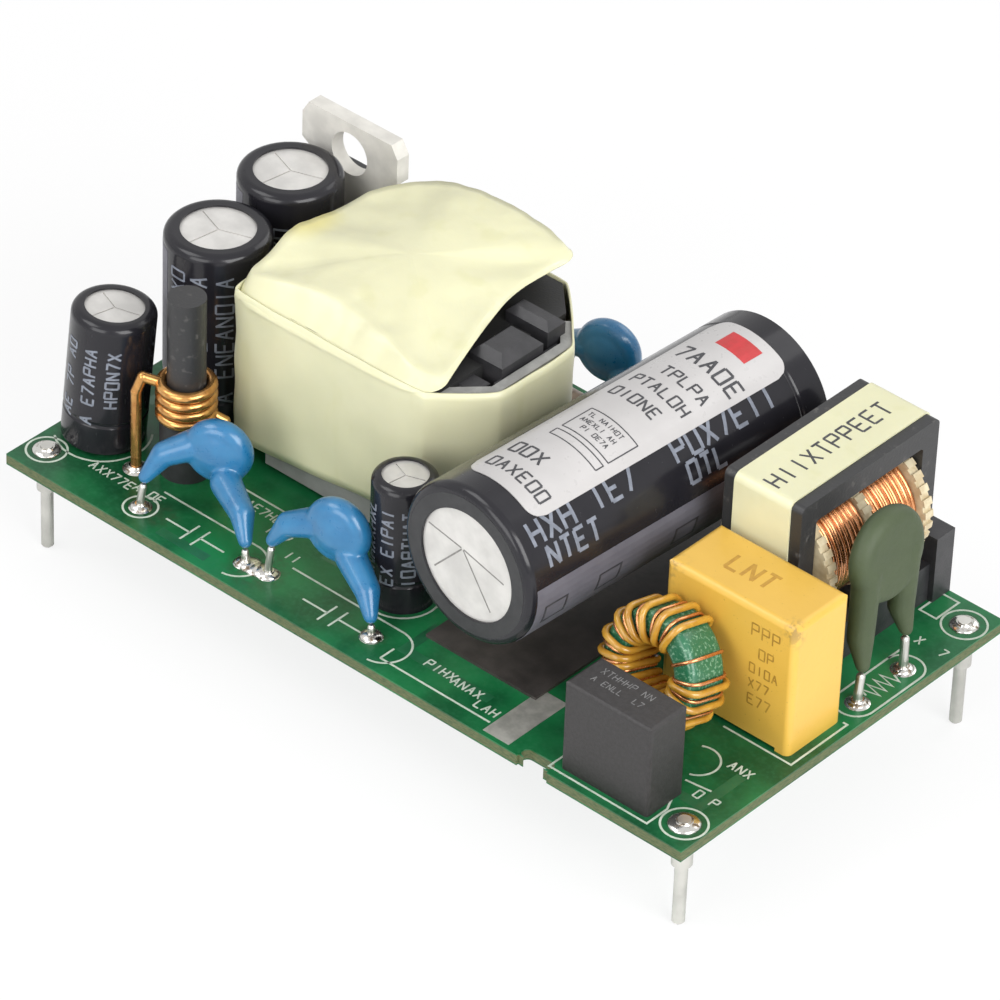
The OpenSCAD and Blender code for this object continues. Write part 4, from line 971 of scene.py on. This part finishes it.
def tape_cover():
    """The creased cover, from its rim over a shoulder to the middle."""
    # each rim point: place, height, how far in its shoulder lies, shoulder height
    rim = [(12.9, 11.75, 14.6, 2.2, 16.9), (16.5, 11.7, 14.6, 2.7, 17.3), (20.0, 11.7, 14.65, 2.9, 17.4),
           (24.0, 11.7, 14.7, 2.9, 17.2), (27.5, 11.75, 14.8, 2.6, 16.9), (30.6, 11.85, 15.0, 1.7, 16.5),
           (32.2, 13.3, 15.4, 0.8, 15.9), (31.9, 14.8, 16.0, 0.6, 16.3), (31.3, 17.0, 16.5, 0.5, 16.8),
           (30.4, 20.3, 17.0, 0.5, 17.3), (29.6, 23.9, 17.5, 0.5, 17.7), (29.8, 28.0, 17.6, 0.5, 17.9),
           (30.5, 29.9, 18.1, 0.5, 18.2), (29.4, 30.5, 18.5, 0.4, 18.8), (27.4, 30.5, 16.6, -0.1, 18.9),
           (25.5, 30.45, 15.0, -0.3, 19.0), (23.1, 30.45, 14.9, -0.4, 19.1), (19.0, 30.45, 14.9, -0.2, 19.0),
           (15.8, 30.45, 14.9, 0.1, 18.0), (13.7, 29.8, 14.9, 0.7, 17.5), (11.85, 27.7, 14.9, 0.9, 17.3),
           (11.8, 24.0, 14.9, 0.6, 17.1), (11.8, 21.0, 14.9, 0.5, 17.4), (11.8, 18.2, 14.9, 0.4, 17.8),
           (11.75, 15.2, 14.7, 0.9, 17.0), (11.7, 13.1, 14.6, 0.6, 16.3)]
    rim = rounded(rim, 3)
    centre = (21.5, 21.5, 18.35)
    rows = []
    for step in range(9):
        t = step / 8
        lift = smooth_step(t) * 0.45 + t * 0.55
        rows.append([(x + (centre[0] - x) * t * depth / math.dist((x, y), centre[:2]),
                      y + (centre[1] - y) * t * depth / math.dist((x, y), centre[:2]),
                      z + (high - z) * lift) for x, y, z, depth, high in rim])
    shoulder = rows[-1]
    for step in range(1, 14):
        t = step / 14
        rows.append([(x + (centre[0] - x) * t, y + (centre[1] - y) * t, z + (centre[2] - z) * smooth_step(t))
                     for x, y, z in shoulder])
    creased = []
    for k, row in enumerate(rows):
        calm = min(1.0, k / 4) if k < 12 else max(0.2, 1 - (k - 11) / 8)
        creased.append([(x, y, z + calm * (ripple(x, y, 0.0, 2.6, 0.22) + ripple(x, y, 5.0, 1.1, 0.09)))
                        for x, y, z in row])
    shell("tape_cover", creased, centre, 0.1, ("transformer_top_tape",))


def tape_band():
    """The band round the form, with a pleat, a seam and a foot that climbs to the right."""
    wall = rounded([(12.5, 12.0), (21.0, 12.0), (30.9, 12.0), (31.9, 12.6), (35.0, 15.7), (35.52, 16.8),
                    (35.52, 20.5), (35.52, 24.0), (35.1, 24.9), (30.0, 30.0), (29.1, 30.42), (21.0, 30.42),
                    (14.6, 30.42), (13.8, 30.0), (12.3, 28.5), (11.88, 27.6), (11.88, 20.0),
                    (11.88, 12.6)], 3)
    rows = []
    for step in range(19):
        t = step / 18
        row = []
        for x, y in wall:
            front = min(1.0, max(0.0, (22 - y) / 9))
            foot = 2.8 + (1.4 + 0.115 * (min(x, 31.0) - 12) - 2.8) * front
            z = foot + (15.3 - foot) * t
            # a diagonal pleat at the left, a wavy seam low on the right face, and a ridge at the top
            swell = lambda off, width: math.exp(-(off / width) ** 2)
            pleat = 0.16 * swell(x + 0.55 * z - 20.3, 0.3) * front if x < 22 and z < 11.5 else 0.0
            seam = 0.1 * swell(z - 8.2 - 0.5 * math.sin(x * 0.9 + y * 0.5), 0.2) if x > 30 else 0.0
            away = ripple(x, y, z, 3.2, 0.14) + pleat + seam + 0.12 * swell(z - 14.3, 0.35)
            c = Vector((x - FORM_X, y - FORM_Y, 0)).normalized() * away
            row.append((x + c.x, y + c.y, z))
        rows.append(row)
    shell("tape_band", rows, None, 0.16, ("transformer_band",))


def shown_core():
    """The ferrite's rim and the bobbin's blocks that show where the cover stops."""
    rim, blocks = Shape(), Shape()
    for quad in strokes([(31.2, 12.9), (34.6, 16.4), (34.6, 24.4), (32.6, 26.6)], 0.85):
        rim.slab(quad, board_face, 14.2, 15.12)
    rim.piece("ferrite_rim", "pale_ferrite", "ferrite")
    low = 13.2
    for x0, y0, x1, y1, high, cut in ((29.6, 15.2, 33.5, 17.2, 14.9, 0.2),
                                      (30.6, 18.0, 33.9, 22.6, 16.5, 0.75),
                                      (29.4, 23.4, 33.6, 25.4, 16.7, 0.55)):
        base = [(x0, y0), (x1, y0), (x1, y1), (x0, y1)]
        mid = ((x0 + x1) / 2, (y0 + y1) / 2)
        drawn_in = lambda p: [c + math.copysign(cut, m - c) for c, m in zip(p, mid)]
        blocks.slab(base, board_face, low, high - cut)
        blocks.prism(base, board_face(high - cut), lambda p: spot(*drawn_in(p), high))
    blocks.piece("bobbin_blocks", "black_plastic", "black_plastic")


def softened(name, node, slot, rounds):
    """A dipped coating: the CAD form with its joints flowed together."""
    source = bpy.data.objects.new(name + "_source", nodes[node].data.copy())
    for kind, settings in (("WELD", {"merge_threshold": 0.00001}),
                           ("REMESH", {"mode": "VOXEL", "voxel_size": 0.12 * MM, "use_smooth_shade": True}),
                           ("SMOOTH", {"factor": 0.5, "iterations": rounds})):
        modifier = source.modifiers.new(kind, kind)
        for key, value in settings.items():
            setattr(modifier, key, value)
    mesh = evaluated(source)
    dress(mesh, slot)
    for face in mesh.polygons:
        face.use_smooth = True
    settle(bpy.data.objects.new(name, mesh), slot, (node,))


# ---------------------------------------------------------------- build

toroid_windings()
choke_turns()
solder_lumps()
silkscreen()
bulk_print()
bulk_end()
can_print()
boxed_print()
tape_cover()
tape_band()
shown_core()
for where in ("left", "middle", "rear"):
    softened("disc_coat_" + where, "disc_capacitor_" + where, "disc_coat", 9)
softened("thermistor_skin", "inrush_thermistor", "thermistor_coat", 6)
softened("ring_core", "toroid_core", "core_coating", 8)

# ---------------------------------------------------------------- camera, lights and floor

camera = bpy.data.objects.new("camera", bpy.data.cameras.new("camera"))
scene.collection.objects.link(camera)
scene.camera = camera
azimuth, elevation, roll = rad(40.375), rad(37.071), rad(2.323)
back = Vector((math.sin(azimuth) * math.cos(elevation), -math.cos(azimuth) * math.cos(elevation),
               math.sin(elevation)))
side = Vector((math.cos(azimuth), math.sin(azimuth), 0))
up = back.cross(side)
right = side * math.cos(roll) + up * math.sin(roll)
upward = up * math.cos(roll) - side * math.sin(roll)
turn = Matrix((right, upward, back)).transposed().to_4x4()
camera.matrix_world = Matrix.Translation(Vector((0.262606, -0.308929, 0.318924))) @ turn
camera.data.sensor_width = 36
camera.data.lens = 244.17
camera.data.clip_start = 0.01


def lamp(name, place, size, power):
    """A square lamp that faces the middle of the part."""
    data = bpy.data.lights.new(name, "AREA")
    data.shape = "SQUARE"
    data.size, data.energy = size, power
    obj = bpy.data.objects.new(name, data)
    scene.collection.objects.link(obj)
    obj.location = place
    obj.rotation_euler = (Vector((0, 0, 0.012)) - obj.location).to_track_quat("-Z", "Y").to_euler()


lamp("key", (-0.22, -0.24, 0.42), 0.26, 0.85)
lamp("fill", (0.42, -0.1, 0.26), 0.34, 2.5)
lamp("front", (0.02, -0.46, 0.2), 0.3, 1.05)
lamp("back", (0.05, 0.4, 0.3), 0.3, 0.5)

WHITE = (1, 1, 1, 1)
AMBIENT = 0.38          # how strongly the white surroundings light the part
FLOOR_GLOW = 0.82       # how much of the floor is plain white to the camera

world = bpy.data.worlds.new("studio")
scene.world = world
world.use_nodes = True
sky = world.node_tree
sky.nodes.clear()
rays = sky.nodes.new("ShaderNodeLightPath").outputs
either = lambda a, b: add_node(sky, "ShaderNodeMath", {"operation": "MAXIMUM"}, {0: a, 1: b})
seen = either(rays["Is Camera Ray"], either(rays["Is Transmission Ray"], rays["Is Glossy Ray"]))
dim, full = (add_node(sky, "ShaderNodeBackground", {}, {"Color": WHITE, "Strength": strength})
             for strength in (AMBIENT, 1.0))
surroundings = add_node(sky, "ShaderNodeMixShader", {}, {0: seen, 1: dim, 2: full})
add_node(sky, "ShaderNodeOutputWorld", {}, {0: surroundings})

floor_mesh = bpy.data.meshes.new("floor")
floor_mesh.from_pydata([(x, y, -0.0001) for x, y in ((-2, -2), (2, -2), (2, 2), (-2, 2))], [], [(0, 1, 2, 3)])
floor = bpy.data.objects.new("floor", floor_mesh)
scene.collection.objects.link(floor)
floor_material = bpy.data.materials.new("floor")
floor_material.use_nodes = True
ground = floor_material.node_tree
ground.nodes.clear()
matt = add_node(ground, "ShaderNodeBsdfDiffuse", {}, {"Color": (0.9, 0.9, 0.9, 1)})
glow = add_node(ground, "ShaderNodeEmission", {}, {"Strength": 1.0})
to_camera = add_node(ground, "ShaderNodeLightPath", {}, {}, "Is Camera Ray")
share = add_node(ground, "ShaderNodeMath", {"operation": "MULTIPLY"}, {0: to_camera, 1: FLOOR_GLOW})
surface = add_node(ground, "ShaderNodeMixShader", {}, {0: share, 1: matt, 2: glow})
add_node(ground, "ShaderNodeOutputMaterial", {}, {0: surface})
floor_mesh.materials.append(floor_material)

scene.view_settings.view_transform = "Standard"
